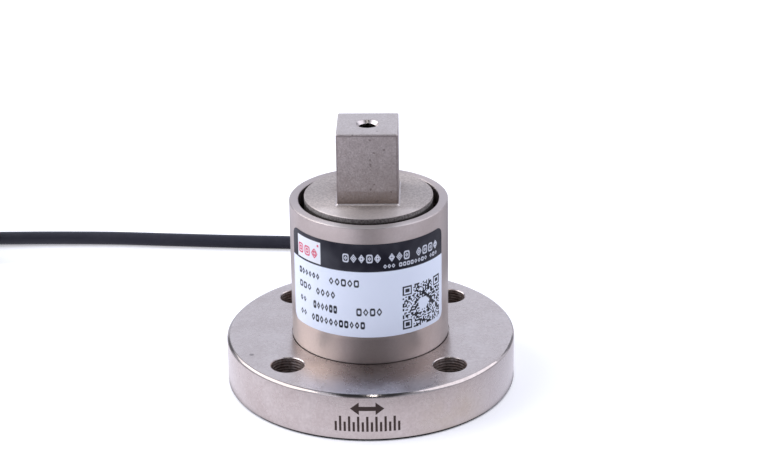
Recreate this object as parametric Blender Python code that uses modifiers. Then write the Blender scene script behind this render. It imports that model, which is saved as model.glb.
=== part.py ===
"""Static torque sensor: a steel torsion body with a bolting flange and a square drive, in a turned sleeve.

Metres, +Z up. The origin is the centre of the flange's underside, and the square's front face looks along -Y.
The torsion body is one turned and milled piece, and the feature that takes the most skill: flange, spigot,
thin square column with filleted ends, disc and square drive.
"""

import math

import bmesh
import bpy
from mathutils import Vector

# Fits and facets
GAP = 0.0003
OVERRUN = 0.001
ROUND_STEPS = 72
SMALL_STEPS = 32
FILLET_STEPS = 5
SMOOTH_ANGLE = math.radians(35)

# Flange
FLANGE_RADIUS = 0.029
FLANGE_THICKNESS = 0.010
FLANGE_CHAMFER = 0.0005
BOLT_COUNT = 4
BOLT_EDGE_DISTANCE = 0.0065
BOLT_HOLE_RADIUS = 0.00325
BOLT_HOLE_CHAMFER = 0.0002
RECESS_RADIUS = 0.010
RECESS_DEPTH = 0.002
RECESS_CHAMFER = 0.0003

# Sleeve
SLEEVE_RADIUS = 0.0157
SLEEVE_WALL = 0.00155
SLEEVE_HEIGHT = 0.029
SLEEVE_CHAMFER = 0.00025
SEAT_DEPTH = 0.0003

# Spigot, torsion column and disc
SPIGOT_HEIGHT = 0.003
SPIGOT_CHAMFER = 0.0003
COLUMN_WIDTH = 0.006
COLUMN_FILLET = 0.002
DISC_CLEARANCE = 0.00115
DISC_THICKNESS = 0.006
DISC_RISE = 0.00075
DISC_CHAMFER = 0.00015

# Square drive
DRIVE_WIDTH = 0.012
DRIVE_HEIGHT = 0.01475
DRIVE_EDGE = 0.00025
DRIVE_FILLET = 0.0004
DRIVE_HOLE_RADIUS = 0.0017
DRIVE_HOLE_DEPTH = 0.009
DRIVE_COUNTERSINK = 0.0006
DRILL_POINT_ANGLE = math.radians(31)

# Name label
LABEL_WIDTH = 0.0366
LABEL_FOOT = 0.00585
LABEL_HEAD = 0.0034
LABEL_TURN = math.radians(-1.2)
LABEL_CORNER = 0.0012
LABEL_FILM = 0.0002

# Strain gauges, ring board and wiring
GAUGE_WIDTH = 0.0046
GAUGE_HEIGHT = 0.008
GAUGE_FILM = 0.0002
BOARD_THICKNESS = 0.0008
BOARD_PLAY = 0.0006
RESISTOR_SIZE = (0.0020, 0.00125, 0.00055)
RESISTOR_COUNT = 3
RESISTOR_ANGLE = math.radians(-58)
RESISTOR_PITCH = math.radians(17)
WIRE_RADIUS = 0.0002
WIRE_SPREAD = 0.0012
CORE_RADIUS = 0.0004
CORE_SPREAD = 0.00065

# Cable gland, named from the housing outwards
CABLE_RADIUS = 0.0015
HEX_WIDTH = 0.008
HEX_LENGTH = 0.0026
HEX_CHAMFER = 0.0003
LOCKNUT_WIDTH = 0.007
LOCKNUT_THICKNESS = 0.002
LOCKNUT_CLEARANCE = 0.0009
STUB_WALL = 0.0006
NECK_LENGTH = 0.0028
NECK_WALL = 0.00045
SEAL_WALL = 0.00045
SEAL_LENGTH = 0.0019
CAP_END = 0.0014
CAP_ROUND = 0.0011
FERRULE_WALL = 0.0009
FERRULE_LENGTH = 0.0016
SHEATH_TAIL = 0.0003

# Coil of the cable's put-away length, with the tie round it
COIL_CENTRE = (-0.112, 0.0437)
COIL_RADIUS = 0.018
COIL_TURNS_ACROSS = 4
COIL_LAYERS = 4
COIL_STEPS = 48
TIE_ANGLE = math.radians(-60)
TIE_WIDTH = 0.0024
TIE_THICKNESS = 0.0006
TIE_HEAD = 0.0036
TIE_CORNER = 0.0014

# Bare far end of the cable
END_SLEEVE_WALL = 0.0004
END_SLEEVE_START = math.radians(100)
END_SLEEVE_TURN = math.radians(38)
LEAD_RADIUS = 0.00045
LEAD_TURN = math.radians(80)
LEAD_PITCH = 0.0018
LEAD_SETTLING = 0.25

# The cable's way over the table, from the gland to the coil
CABLE_ROUTE = (
    (0.0000, 0.0275, 0.0190),
    (0.0004, 0.0320, 0.0183),
    (0.0010, 0.0365, 0.0165),
    (0.0014, 0.0410, 0.0139),
    (0.0011, 0.0455, 0.0109),
    (0.0000, 0.0500, 0.0079),
    (-0.0020, 0.0540, 0.0052),
    (-0.0049, 0.0576, 0.0031),
    (-0.0086, 0.0604, 0.0019),
    (-0.0128, 0.0622, 0.0015),
    (-0.0172, 0.0631, 0.0015),
    (-0.0216, 0.0635, 0.0015),
    (-0.0340, 0.0642, 0.0015),
    (-0.0474, 0.0652, 0.0015),
    (-0.0607, 0.0662, 0.0015),
    (-0.0740, 0.0665, 0.0015),
    (-0.0872, 0.0664, 0.0015),
    (-0.0940, 0.06625, 0.0015),
    (-0.0998, 0.0662, 0.0015),
)

# Places that follow from the sizes
BORE_RADIUS = SLEEVE_RADIUS - SLEEVE_WALL
BOLT_CIRCLE_RADIUS = FLANGE_RADIUS - BOLT_EDGE_DISTANCE
RIM_Z = FLANGE_THICKNESS + SLEEVE_HEIGHT
SPIGOT_TOP = FLANGE_THICKNESS + SPIGOT_HEIGHT
SEAT_Z = FLANGE_THICKNESS - SEAT_DEPTH
SEAT_RIM = SLEEVE_RADIUS + GAP
DISC_TOP = RIM_Z + DISC_RISE
DISC_UNDERSIDE = DISC_TOP - DISC_THICKNESS
DRIVE_TOP = DISC_TOP + DRIVE_HEIGHT
COLUMN_HALF = COLUMN_WIDTH / 2
BOARD_Z = SPIGOT_TOP + GAP
BOARD_TOP = BOARD_Z + BOARD_THICKNESS
BOARD_INNER = (COLUMN_HALF + COLUMN_FILLET) * math.sqrt(2) + GAP
BOARD_OUTER = BORE_RADIUS - BOARD_PLAY
BOARD_MIDDLE = (BOARD_INNER + BOARD_OUTER) / 2
GAUGE_FACE = COLUMN_HALF + GAP + GAUGE_FILM
GAUGE_Z = (SPIGOT_TOP + DISC_UNDERSIDE) / 2
HEX_CORNER = HEX_WIDTH / math.sqrt(3)
LOCKNUT_CORNER = LOCKNUT_WIDTH / math.sqrt(3)
CABLE_BORE = CABLE_RADIUS + GAP
STUB_RADIUS = CABLE_BORE + STUB_WALL
SEAT_RADIUS = CABLE_BORE + SEAL_WALL + GAP
NECK_RADIUS = SEAT_RADIUS + NECK_WALL
GLAND_Z = BOARD_TOP + LOCKNUT_CORNER + LOCKNUT_CLEARANCE
SPOT_RADIUS = HEX_CORNER + GAP
SPOT_Y = math.sqrt(SLEEVE_RADIUS**2 - SPOT_RADIUS**2)
HEX_END_Y = SPOT_Y + GAP + HEX_LENGTH
NECK_END_Y = HEX_END_Y + NECK_LENGTH
CAP_END_Y = NECK_END_Y + GAP + CAP_END
LOCKNUT_Y = math.sqrt(BORE_RADIUS**2 - LOCKNUT_CORNER**2) - GAP - LOCKNUT_THICKNESS
STUB_END_Y = LOCKNUT_Y - GAP
FERRULE_Y = STUB_END_Y - GAP - FERRULE_LENGTH
SHEATH_END_Y = FERRULE_Y - SHEATH_TAIL
CABLE_DIAMETER = 2 * CABLE_RADIUS
COIL_OUTER = COIL_RADIUS + COIL_TURNS_ACROSS * CABLE_RADIUS
COIL_HEIGHT = COIL_LAYERS * CABLE_DIAMETER


def make_collection(name):
    """An empty collection in the scene."""
    collection = bpy.data.collections.new(name)
    bpy.context.scene.collection.children.link(collection)
    return collection


def make_material(name, colour, roughness, metallic=0.0):
    """A Principled material of one colour."""
    material = bpy.data.materials.new(name)
    material.use_nodes = True
    shader = material.node_tree.nodes["Principled BSDF"]
    shader.inputs["Base Color"].default_value = (*colour, 1.0)
    shader.inputs["Roughness"].default_value = roughness
    shader.inputs["Metallic"].default_value = metallic
    return material


def add_object(name, data, material=None):
    """An object in the parts' collection, or a cutter if it has no material."""
    piece = bpy.data.objects.new(name, data)
    if material:
        data.materials.append(material)
        PARTS.objects.link(piece)
    else:
        piece.hide_render = True
        piece.display_type = "WIRE"
        CUTTERS.objects.link(piece)
    return piece


def turned(name, profile, material=None, steps=ROUND_STEPS, ring=False):
    """A profile of (radius, height) points, top to bottom down the outer side, turned round Z.

    A ring's profile closes on itself. Four or six steps give a milled square or hexagon, whose corner
    follows the profile.
    """
    last = len(profile)
    edges = [(i, i + 1) for i in range(last - 1)]
    if ring:
        edges.append((last - 1, 0))
    mesh = bpy.data.meshes.new(name)
    mesh.from_pydata([(radius, 0.0, height) for radius, height in profile], edges, [])
    piece = add_object(name, mesh, material)
    screw = piece.modifiers.new("Turn", "SCREW")
    screw.steps = screw.render_steps = steps
    screw.use_merge_vertices = True
    screw.merge_threshold = 0.00001
    return piece


def milled_square(name, profile, material=None):
    """A square piece whose half width at each height is given, with flats facing X and Y."""
    corners = [(half * math.sqrt(2), height) for half, height in profile]
    piece = turned(name, corners, material, steps=4)
    piece.rotation_euler.z = math.pi / 4
    return piece


def block(name, size, centre, material=None, edge=0.0):
    """A box with its edges rounded by edge."""
    shape = bmesh.new()
    bmesh.ops.create_cube(shape, size=1.0)
    bmesh.ops.scale(shape, vec=Vector(size), verts=shape.verts)
    mesh = bpy.data.meshes.new(name)
    shape.to_mesh(mesh)
    shape.free()
    piece = add_object(name, mesh, material)
    piece.location = centre
    if edge:
        bevel = piece.modifiers.new("Edges", "BEVEL")
        bevel.width = edge
        bevel.segments = 2
    return piece


def combine(piece, tool, operation="DIFFERENCE"):
    """Cuts piece with tool, or joins or intersects them."""
    boolean = piece.modifiers.new(tool.name, "BOOLEAN")
    boolean.object = tool
    boolean.operation = operation
    return piece


def along_y(piece, y, z):
    """Lays a piece that was built along Z on the gland's axis, with its own zero at y."""
    piece.rotation_euler = (-math.pi / 2, 0.0, 0.0)
    piece.location = (0.0, y, z)
    return piece


def smooth_line(points, spacing):
    """Points a spacing apart on the Catmull-Rom curve through the given points."""
    given = [Vector(point) for point in points]
    ends = [2 * given[0] - given[1], *given, 2 * given[-1] - given[-2]]
    fine = []
    for a, b, c, d in zip(ends, ends[1:], ends[2:], ends[3:]):
        square = 2 * a - 5 * b + 4 * c - d
        cube = 3 * b - a - 3 * c + d
        for i in range(16):
            t = i / 16
            fine.append(0.5 * (2 * b + (c - a) * t + square * t**2 + cube * t**3))
    fine.append(given[-1])
    length = sum((q - p).length for p, q in zip(fine, fine[1:]))
    count = max(round(length / spacing), 2)
    line, walked, target = [fine[0]], 0.0, length / count
    for p, q in zip(fine, fine[1:]):
        walked += (q - p).length
        if walked >= target and len(line) < count:
            line.append(q)
            target += length / count
    return [*line, fine[-1]]


def tube(name, line, radius, material):
    """A round tube with filled ends along a line of points."""
    curve = bpy.data.curves.new(name, "CURVE")
    curve.dimensions = "3D"
    curve.bevel_depth = radius
    curve.bevel_resolution = 2
    curve.use_fill_caps = True
    spline = curve.splines.new("POLY")
    spline.points.add(len(line) - 1)
    for point, place in zip(spline.points, line):
        point.co = (*place, 1.0)
    return add_object(name, curve, material)


def fillet(half, radius, face, side):
    """A hollow fillet's points, from the flat face out to the wall, which stands on side (+1 up, -1 down)."""
    points = []
    for i in range(FILLET_STEPS + 1):
        turn = math.pi / 2 * i / FILLET_STEPS
        points.append((half + radius * (1 - math.sin(turn)), face + side * radius * (1 - math.cos(turn))))
    return points


def smooth_faces(piece):
    """Applies a piece's modifiers and shades it smooth except at its sharp edges."""
    if piece.type != "MESH":
        return
    evaluated = piece.evaluated_get(bpy.context.evaluated_depsgraph_get())
    mesh = bpy.data.meshes.new_from_object(evaluated)
    mesh.name = piece.name
    piece.modifiers.clear()
    piece.data = mesh
    mesh.shade_smooth()
    mesh.set_sharp_from_angle(angle=SMOOTH_ANGLE)


def make_torsion_body():
    """Flange, spigot, torsion column, disc and square drive: one piece of steel."""
    spigot_radius = BORE_RADIUS - GAP
    base = [
        (0.0, SPIGOT_TOP),
        (spigot_radius - SPIGOT_CHAMFER, SPIGOT_TOP),
        (spigot_radius, SPIGOT_TOP - SPIGOT_CHAMFER),
        (spigot_radius, SEAT_Z),
        (SEAT_RIM, SEAT_Z),
        (SEAT_RIM, FLANGE_THICKNESS),
        (FLANGE_RADIUS - FLANGE_CHAMFER, FLANGE_THICKNESS),
        (FLANGE_RADIUS, FLANGE_THICKNESS - FLANGE_CHAMFER),
        (FLANGE_RADIUS, FLANGE_CHAMFER),
        (FLANGE_RADIUS - FLANGE_CHAMFER, 0.0),
        (RECESS_RADIUS + RECESS_CHAMFER, 0.0),
        (RECESS_RADIUS, RECESS_CHAMFER),
        (RECESS_RADIUS, RECESS_DEPTH),
        (0.0, RECESS_DEPTH),
    ]
    body = turned("torsion_body", base, STEEL)
    for form in (column_form(), disc_form(), drive_form(), drive_foot_form()):
        combine(body, form, "UNION")
    for i in range(BOLT_COUNT):
        combine(body, bolt_hole_cutter(i))
    combine(body, drive_hole_cutter())
    smooth_faces(body)


def column_form():
    """The thin square column that twists, with a fillet into the spigot and one into the disc."""
    wide = COLUMN_HALF + COLUMN_FILLET
    upper = fillet(COLUMN_HALF, COLUMN_FILLET, DISC_UNDERSIDE, -1)
    lower = fillet(COLUMN_HALF, COLUMN_FILLET, SPIGOT_TOP, 1)
    top, bottom = DISC_UNDERSIDE + OVERRUN, SPIGOT_TOP - OVERRUN
    profile = [(0.0, top), (wide, top), *upper, *reversed(lower), (wide, bottom), (0.0, bottom)]
    return milled_square("column_form", profile)


def disc_form():
    """The disc that closes the sleeve, turned with its gap all round."""
    radius = BORE_RADIUS - DISC_CLEARANCE
    profile = [
        (0.0, DISC_TOP),
        (radius - DISC_CHAMFER, DISC_TOP),
        (radius, DISC_TOP - DISC_CHAMFER),
        (radius, DISC_UNDERSIDE + DISC_CHAMFER),
        (radius - DISC_CHAMFER, DISC_UNDERSIDE),
        (0.0, DISC_UNDERSIDE),
    ]
    return turned("disc_form", profile)


def drive_form():
    """The milled square with its edges broken."""
    height = DRIVE_HEIGHT + OVERRUN
    centre = (0.0, 0.0, DRIVE_TOP - height / 2)
    return block("drive_form", (DRIVE_WIDTH, DRIVE_WIDTH, height), centre, edge=DRIVE_EDGE)


def drive_foot_form():
    """The small fillet round the square's foot."""
    foot = fillet(DRIVE_WIDTH / 2, DRIVE_FILLET, DISC_TOP, 1)
    bottom = DISC_TOP - OVERRUN / 2
    profile = [(0.0, DISC_TOP + DRIVE_FILLET), *reversed(foot), (foot[0][0], bottom), (0.0, bottom)]
    return milled_square("drive_foot_form", profile)


def bolt_hole_cutter(i):
    """One through hole on the bolt circle, broken at both faces."""
    wide = BOLT_HOLE_RADIUS + BOLT_HOLE_CHAMFER + OVERRUN
    profile = [
        (0.0, FLANGE_THICKNESS + OVERRUN),
        (wide, FLANGE_THICKNESS + OVERRUN),
        (BOLT_HOLE_RADIUS, FLANGE_THICKNESS - BOLT_HOLE_CHAMFER),
        (BOLT_HOLE_RADIUS, BOLT_HOLE_CHAMFER),
        (wide, -OVERRUN),
        (0.0, -OVERRUN),
    ]
    cutter = turned(f"bolt_hole_{i + 1}", profile, steps=SMALL_STEPS)
    turn = 2 * math.pi * (i + 0.5) / BOLT_COUNT
    cutter.location = (BOLT_CIRCLE_RADIUS * math.cos(turn), BOLT_CIRCLE_RADIUS * math.sin(turn), 0.0)
    return cutter


def drive_hole_cutter():
    """The blind hole in the square's top, with its countersink and drill point."""
    mouth = DRIVE_HOLE_RADIUS + DRIVE_COUNTERSINK
    bottom = DRIVE_TOP - DRIVE_HOLE_DEPTH
    profile = [
        (0.0, DRIVE_TOP + OVERRUN),
        (mouth + OVERRUN, DRIVE_TOP + OVERRUN),
        (DRIVE_HOLE_RADIUS, DRIVE_TOP - DRIVE_COUNTERSINK),
        (DRIVE_HOLE_RADIUS, bottom),
        (0.0, bottom - DRIVE_HOLE_RADIUS * math.tan(DRILL_POINT_ANGLE)),
    ]
    return turned("drive_hole", profile, steps=SMALL_STEPS)


def make_sleeve():
    """The turned housing tube, let into its seat, with the gland's hole and spot face at the back."""
    foot = SEAT_Z + GAP
    profile = [
        (BORE_RADIUS + SLEEVE_CHAMFER, RIM_Z),
        (SLEEVE_RADIUS - SLEEVE_CHAMFER, RIM_Z),
        (SLEEVE_RADIUS, RIM_Z - SLEEVE_CHAMFER),
        (SLEEVE_RADIUS, foot),
        (BORE_RADIUS, foot),
        (BORE_RADIUS, RIM_Z - SLEEVE_CHAMFER),
    ]
    sleeve = turned("housing_sleeve", profile, STEEL, ring=True)
    hole = straight_cutter("gland_hole", STUB_RADIUS + GAP, SLEEVE_RADIUS)
    combine(sleeve, along_y(hole, BORE_RADIUS / 2, GLAND_Z))
    spot = straight_cutter("spot_face", SPOT_RADIUS, SLEEVE_RADIUS)
    combine(sleeve, along_y(spot, SPOT_Y, GLAND_Z))
    smooth_faces(sleeve)


def straight_cutter(name, radius, length):
    """A plain round cutter from its own zero up to length."""
    return turned(name, [(0.0, length), (radius, length), (radius, 0.0), (0.0, 0.0)], steps=SMALL_STEPS)


def make_label():
    """The printed film: a sheet with rounded corners, bent to the sleeve and given its thickness."""
    radius = SLEEVE_RADIUS + GAP
    low = FLANGE_THICKNESS + LABEL_FOOT
    high = RIM_Z - LABEL_HEAD
    ends = [LABEL_CORNER * (1 - math.cos(math.pi / 2 * i / 4)) for i in range(5)]
    inner = LABEL_WIDTH - 2 * LABEL_CORNER
    across = [*ends, *(LABEL_CORNER + inner * i / 24 for i in range(1, 24))]
    across += [LABEL_WIDTH - end for end in reversed(ends)]
    shape = bmesh.new()
    bmesh.ops.create_grid(shape, x_segments=len(across) - 1, y_segments=4, size=0.5)
    for vert in shape.verts:
        along = across[round((vert.co.x + 0.5) * (len(across) - 1))]
        inset = LABEL_CORNER - min(along, LABEL_WIDTH - along, LABEL_CORNER)
        corner = LABEL_CORNER - math.sqrt(LABEL_CORNER**2 - inset**2)
        height = low + corner + (high - low - 2 * corner) * (vert.co.y + 0.5)
        turn = (along - LABEL_WIDTH / 2) / radius + LABEL_TURN
        vert.co = (radius * math.sin(turn), -radius * math.cos(turn), height)
    mesh = bpy.data.meshes.new("name_label")
    shape.to_mesh(mesh)
    shape.free()
    label = add_object("name_label", mesh, FILM)
    solidify = label.modifiers.new("Film", "SOLIDIFY")
    solidify.thickness = LABEL_FILM
    solidify.offset = 1.0
    smooth_faces(label)


def make_gauges():
    """A foil gauge on each flat of the column, with two wires down to the ring board."""
    for i, side in enumerate(("right", "back", "left", "front")):
        turn = i * math.pi / 2
        out = Vector((math.cos(turn), math.sin(turn), 0.0))
        across = Vector((-out.y, out.x, 0.0))
        centre = out * (GAUGE_FACE - GAUGE_FILM / 2) + Vector((0.0, 0.0, GAUGE_Z))
        gauge = block(f"strain_gauge_{side}", (GAUGE_FILM, GAUGE_WIDTH, GAUGE_HEIGHT), centre, FOIL)
        gauge.rotation_euler.z = turn
        for k in (0, 1):
            make_bridge_wire(2 * i + k + 1, out, across * WIRE_SPREAD * (2 * k - 1))


def make_bridge_wire(number, out, aside):
    """A fine wire from a gauge's lower end, down the column and, below the cable, out to the ring board."""
    start = GAUGE_FACE + GAP + WIRE_RADIUS
    foot = BOARD_INNER + 2 * CORE_RADIUS
    top = GAUGE_Z - GAUGE_HEIGHT / 2 + 2 * CORE_RADIUS
    drop = top - BOARD_TOP
    way = (
        (start, top),
        (start + (foot - start) * 0.05, top - drop * 0.3),
        (start + (foot - start) * 0.25, top - drop * 0.68),
        (start + (foot - start) * 0.8, top - drop * 0.86),
        (foot, BOARD_TOP + GAP),
    )
    points = [out * radius + aside + Vector((0.0, 0.0, height)) for radius, height in way]
    tube(f"bridge_wire_{number}", smooth_line(points, drop / 8), WIRE_RADIUS, COPPER)


def make_board():
    """The ring board bonded on the spigot round the column, and its trimming resistors."""
    profile = [
        (BOARD_INNER, BOARD_TOP),
        (BOARD_OUTER, BOARD_TOP),
        (BOARD_OUTER, BOARD_Z),
        (BOARD_INNER, BOARD_Z),
    ]
    smooth_faces(turned("terminal_board", profile, LAMINATE, steps=48, ring=True))
    for i in range(RESISTOR_COUNT):
        turn = RESISTOR_ANGLE + RESISTOR_PITCH * i
        height = BOARD_TOP + GAP + RESISTOR_SIZE[2] / 2
        centre = (BOARD_MIDDLE * math.cos(turn), BOARD_MIDDLE * math.sin(turn), height)
        chip = block(f"trim_resistor_{i + 1}", RESISTOR_SIZE, centre, CERAMIC)
        chip.rotation_euler.z = turn


def make_cores():
    """The four cores, from the sheath's end apart and down to the ring board."""
    start = SHEATH_END_Y - GAP
    bend = start - 2 * CORE_RADIUS
    for name, side, level, turn, material in (
        ("core_red", -1, 1, math.radians(134), RED),
        ("core_black", 1, 1, math.radians(46), BLACK),
        ("core_green", -1, -1, math.radians(119), GREEN),
        ("core_white", 1, -1, math.radians(61), WHITE),
    ):
        foot = Vector((BOARD_MIDDLE * math.cos(turn), BOARD_MIDDLE * math.sin(turn), BOARD_TOP + GAP))
        height = GLAND_Z + level * CORE_SPREAD
        first = Vector((side * CORE_SPREAD, start, height))
        second = Vector((side * 2 * CORE_SPREAD, bend, height))
        reach = 0.55 if level > 0 else 0.7
        third = Vector((foot.x * reach, bend - CORE_RADIUS, GLAND_Z + (1.3 * level - 1.0) * CORE_RADIUS * 2))
        above = Vector((foot.x, foot.y - CORE_RADIUS, BOARD_TOP + (GLAND_Z - BOARD_TOP) * 0.35))
        tube(name, smooth_line((first, second, third, above, foot), 4 * CORE_RADIUS), CORE_RADIUS, material)


def hexagon(name, width, low, high):
    """A hexagonal prism with both ends chamfered, as a form to join or to cut from."""
    corner = width / math.sqrt(3)
    return turned(
        name,
        [
            (0.0, high),
            (corner - HEX_CHAMFER, high),
            (corner, high - HEX_CHAMFER / 2),
            (corner, low + HEX_CHAMFER / 2),
            (corner - HEX_CHAMFER, low),
            (0.0, low),
        ],
        steps=6,
    )


def make_gland_body():
    """Stub through the sleeve, hexagon on the spot face and neck for the cap, bored for the cable."""
    neck = NECK_END_Y - SPOT_Y
    hexagon_top = HEX_END_Y - SPOT_Y
    stub = STUB_END_Y - SPOT_Y
    seat = neck - SEAL_LENGTH - GAP
    profile = [
        (SEAT_RADIUS, neck),
        (NECK_RADIUS, neck),
        (NECK_RADIUS, GAP + HEX_CHAMFER),
        (STUB_RADIUS, GAP + HEX_CHAMFER),
        (STUB_RADIUS, stub),
        (CABLE_BORE, stub),
        (CABLE_BORE, seat),
        (SEAT_RADIUS, seat),
    ]
    body = turned("gland_body", profile, NICKEL, steps=SMALL_STEPS, ring=True)
    flats = hexagon("gland_body_hexagon", HEX_WIDTH, GAP, hexagon_top)
    bore = straight_cutter("gland_body_bore", CABLE_BORE + NECK_WALL / 2, neck)
    bore.location.z = -OVERRUN
    combine(flats, bore)
    smooth_faces(flats)
    combine(body, along_y(flats, SPOT_Y, GLAND_Z), "UNION")
    along_y(body, SPOT_Y, GLAND_Z)
    along_y(bore, SPOT_Y, GLAND_Z)
    smooth_faces(body)


def make_gland_seal():
    """The rubber ring that the cap squeezes onto the cable."""
    radius = CABLE_BORE + SEAL_WALL
    profile = [(CABLE_BORE, SEAL_LENGTH), (radius, SEAL_LENGTH), (radius, 0.0), (CABLE_BORE, 0.0)]
    seal = turned("gland_seal", profile, RUBBER, steps=SMALL_STEPS, ring=True)
    along_y(seal, NECK_END_Y - SEAL_LENGTH, GLAND_Z)
    smooth_faces(seal)


def make_gland_cap():
    """The domed hexagon cap on the neck, hollow over the neck and bored for the cable."""
    low, high = HEX_END_Y + GAP, CAP_END_Y
    length = high - low
    corner = HEX_CORNER
    dome = [(0.0, length), (corner - 2 * CAP_ROUND, length)]
    for i in range(1, FILLET_STEPS + 1):
        turn = math.pi / 2 * i / FILLET_STEPS
        reach = corner - 2 * CAP_ROUND * (1 - math.sin(turn))
        dome.append((reach, length - CAP_ROUND * (1 - math.cos(turn))))
    dome += [(corner, HEX_CHAMFER), (corner - HEX_CHAMFER, 0.0), (0.0, 0.0)]
    cap = turned("gland_cap", dome, NICKEL, steps=SMALL_STEPS)
    flats = hexagon("gland_cap_flats", HEX_WIDTH, -HEX_CHAMFER, length + HEX_CHAMFER)
    combine(cap, along_y(flats, low, GLAND_Z), "INTERSECT")
    inside = NECK_END_Y + GAP - low
    hollow = [
        (0.0, length + OVERRUN),
        (CABLE_BORE, length + OVERRUN),
        (CABLE_BORE, inside),
        (NECK_RADIUS + GAP, inside),
        (NECK_RADIUS + GAP, -OVERRUN),
        (0.0, -OVERRUN),
    ]
    combine(cap, along_y(turned("gland_cap_hollow", hollow, steps=SMALL_STEPS), low, GLAND_Z))
    along_y(cap, low, GLAND_Z)
    smooth_faces(cap)


def make_gland_locknut():
    """The thin nut that draws the gland against the sleeve from inside."""
    nut = turned(
        "gland_locknut",
        [
            (STUB_RADIUS + GAP, LOCKNUT_THICKNESS),
            (LOCKNUT_CORNER, LOCKNUT_THICKNESS),
            (LOCKNUT_CORNER, 0.0),
            (STUB_RADIUS + GAP, 0.0),
        ],
        NICKEL,
        steps=SMALL_STEPS,
        ring=True,
    )
    flats = hexagon("gland_locknut_flats", LOCKNUT_WIDTH, -HEX_CHAMFER, LOCKNUT_THICKNESS + HEX_CHAMFER)
    combine(nut, along_y(flats, LOCKNUT_Y, GLAND_Z), "INTERSECT")
    along_y(nut, LOCKNUT_Y, GLAND_Z)
    smooth_faces(nut)


def make_ferrule():
    """The ring crimped on the sheath inside the housing, which stops the cable at the gland."""
    radius = CABLE_BORE + FERRULE_WALL
    profile = [(CABLE_BORE, FERRULE_LENGTH), (radius, FERRULE_LENGTH), (radius, 0.0), (CABLE_BORE, 0.0)]
    ferrule = turned("cable_ferrule", profile, COPPER, steps=SMALL_STEPS, ring=True)
    along_y(ferrule, FERRULE_Y, GLAND_Z)
    smooth_faces(ferrule)


def make_cable():
    """The sheathed cable, from its end inside the housing through the gland and over the table to the coil."""
    inside = [(0.0, y, GLAND_Z) for y in (SHEATH_END_Y, SPOT_Y, CAP_END_Y, CAP_END_Y + CABLE_DIAMETER)]
    tube("cable", smooth_line([*inside, *CABLE_ROUTE], 2 * CABLE_DIAMETER), CABLE_RADIUS, SHEATH)


def make_coil():
    """The wound rest of the cable, as the ring that its turns fill, cut underneath for the tie."""
    corner = CABLE_RADIUS
    half = COIL_TURNS_ACROSS * CABLE_RADIUS
    profile = []
    for quarter, (side, level) in enumerate(((1, 1), (1, -1), (-1, -1), (-1, 1))):
        for i in range(4):
            turn = math.pi / 2 * (1 - quarter - i / 3)
            radius = COIL_RADIUS + side * (half - corner) + corner * math.cos(turn)
            middle = COIL_HEIGHT / 2 + level * (COIL_HEIGHT / 2 - corner)
            profile.append((radius, middle + corner * math.sin(turn)))
    coil = turned("cable_coil", profile, SHEATH, steps=COIL_STEPS, ring=True)
    coil.location = (*COIL_CENTRE, 0.0)
    size = (3 * half, TIE_WIDTH + 2 * GAP, 2 * (TIE_THICKNESS + GAP))
    groove = block("tie_groove", size, on_coil(COIL_RADIUS, TIE_ANGLE, 0.0))
    groove.rotation_euler.z = TIE_ANGLE
    combine(coil, groove)
    smooth_faces(coil)


def on_coil(radius, turn, height):
    """A place given by its radius and angle round the coil's axis."""
    return Vector((COIL_CENTRE[0] + radius * math.cos(turn), COIL_CENTRE[1] + radius * math.sin(turn), height))


def make_tie():
    """The nylon tie round the coil's turns, with its ratchet head outside."""
    inner_width = COIL_TURNS_ACROSS * CABLE_DIAMETER + 2 * GAP
    inner_height = COIL_HEIGHT + GAP - TIE_THICKNESS
    outer_height = inner_height + 2 * TIE_THICKNESS
    middle = on_coil(COIL_RADIUS, TIE_ANGLE, outer_height / 2)
    tie = block("coil_tie", (inner_width + 2 * TIE_THICKNESS, TIE_WIDTH, outer_height), middle, NYLON)
    opening = block("tie_opening", (inner_width, 2 * TIE_WIDTH, inner_height), middle)
    head_place = on_coil(COIL_OUTER + GAP + TIE_HEAD / 2, TIE_ANGLE, outer_height / 2)
    head = block("tie_head", (TIE_HEAD, TIE_HEAD, TIE_HEAD), head_place, edge=TIE_THICKNESS / 2)
    for shape in (tie, opening, head):
        shape.rotation_euler.z = TIE_ANGLE
    round_corners(tie, TIE_CORNER)
    combine(tie, head, "UNION")
    combine(tie, opening)
    smooth_faces(tie)


def round_corners(piece, radius):
    """Rounds the four edges that run along a block's own Y."""
    shape = bmesh.new()
    shape.from_mesh(piece.data)
    edges = [edge for edge in shape.edges if abs(edge.verts[0].co.y - edge.verts[1].co.y) > TIE_WIDTH / 2]
    bmesh.ops.bevel(shape, geom=edges, offset=radius, segments=4, profile=0.5, affect="EDGES")
    shape.to_mesh(piece.data)
    shape.free()


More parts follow.
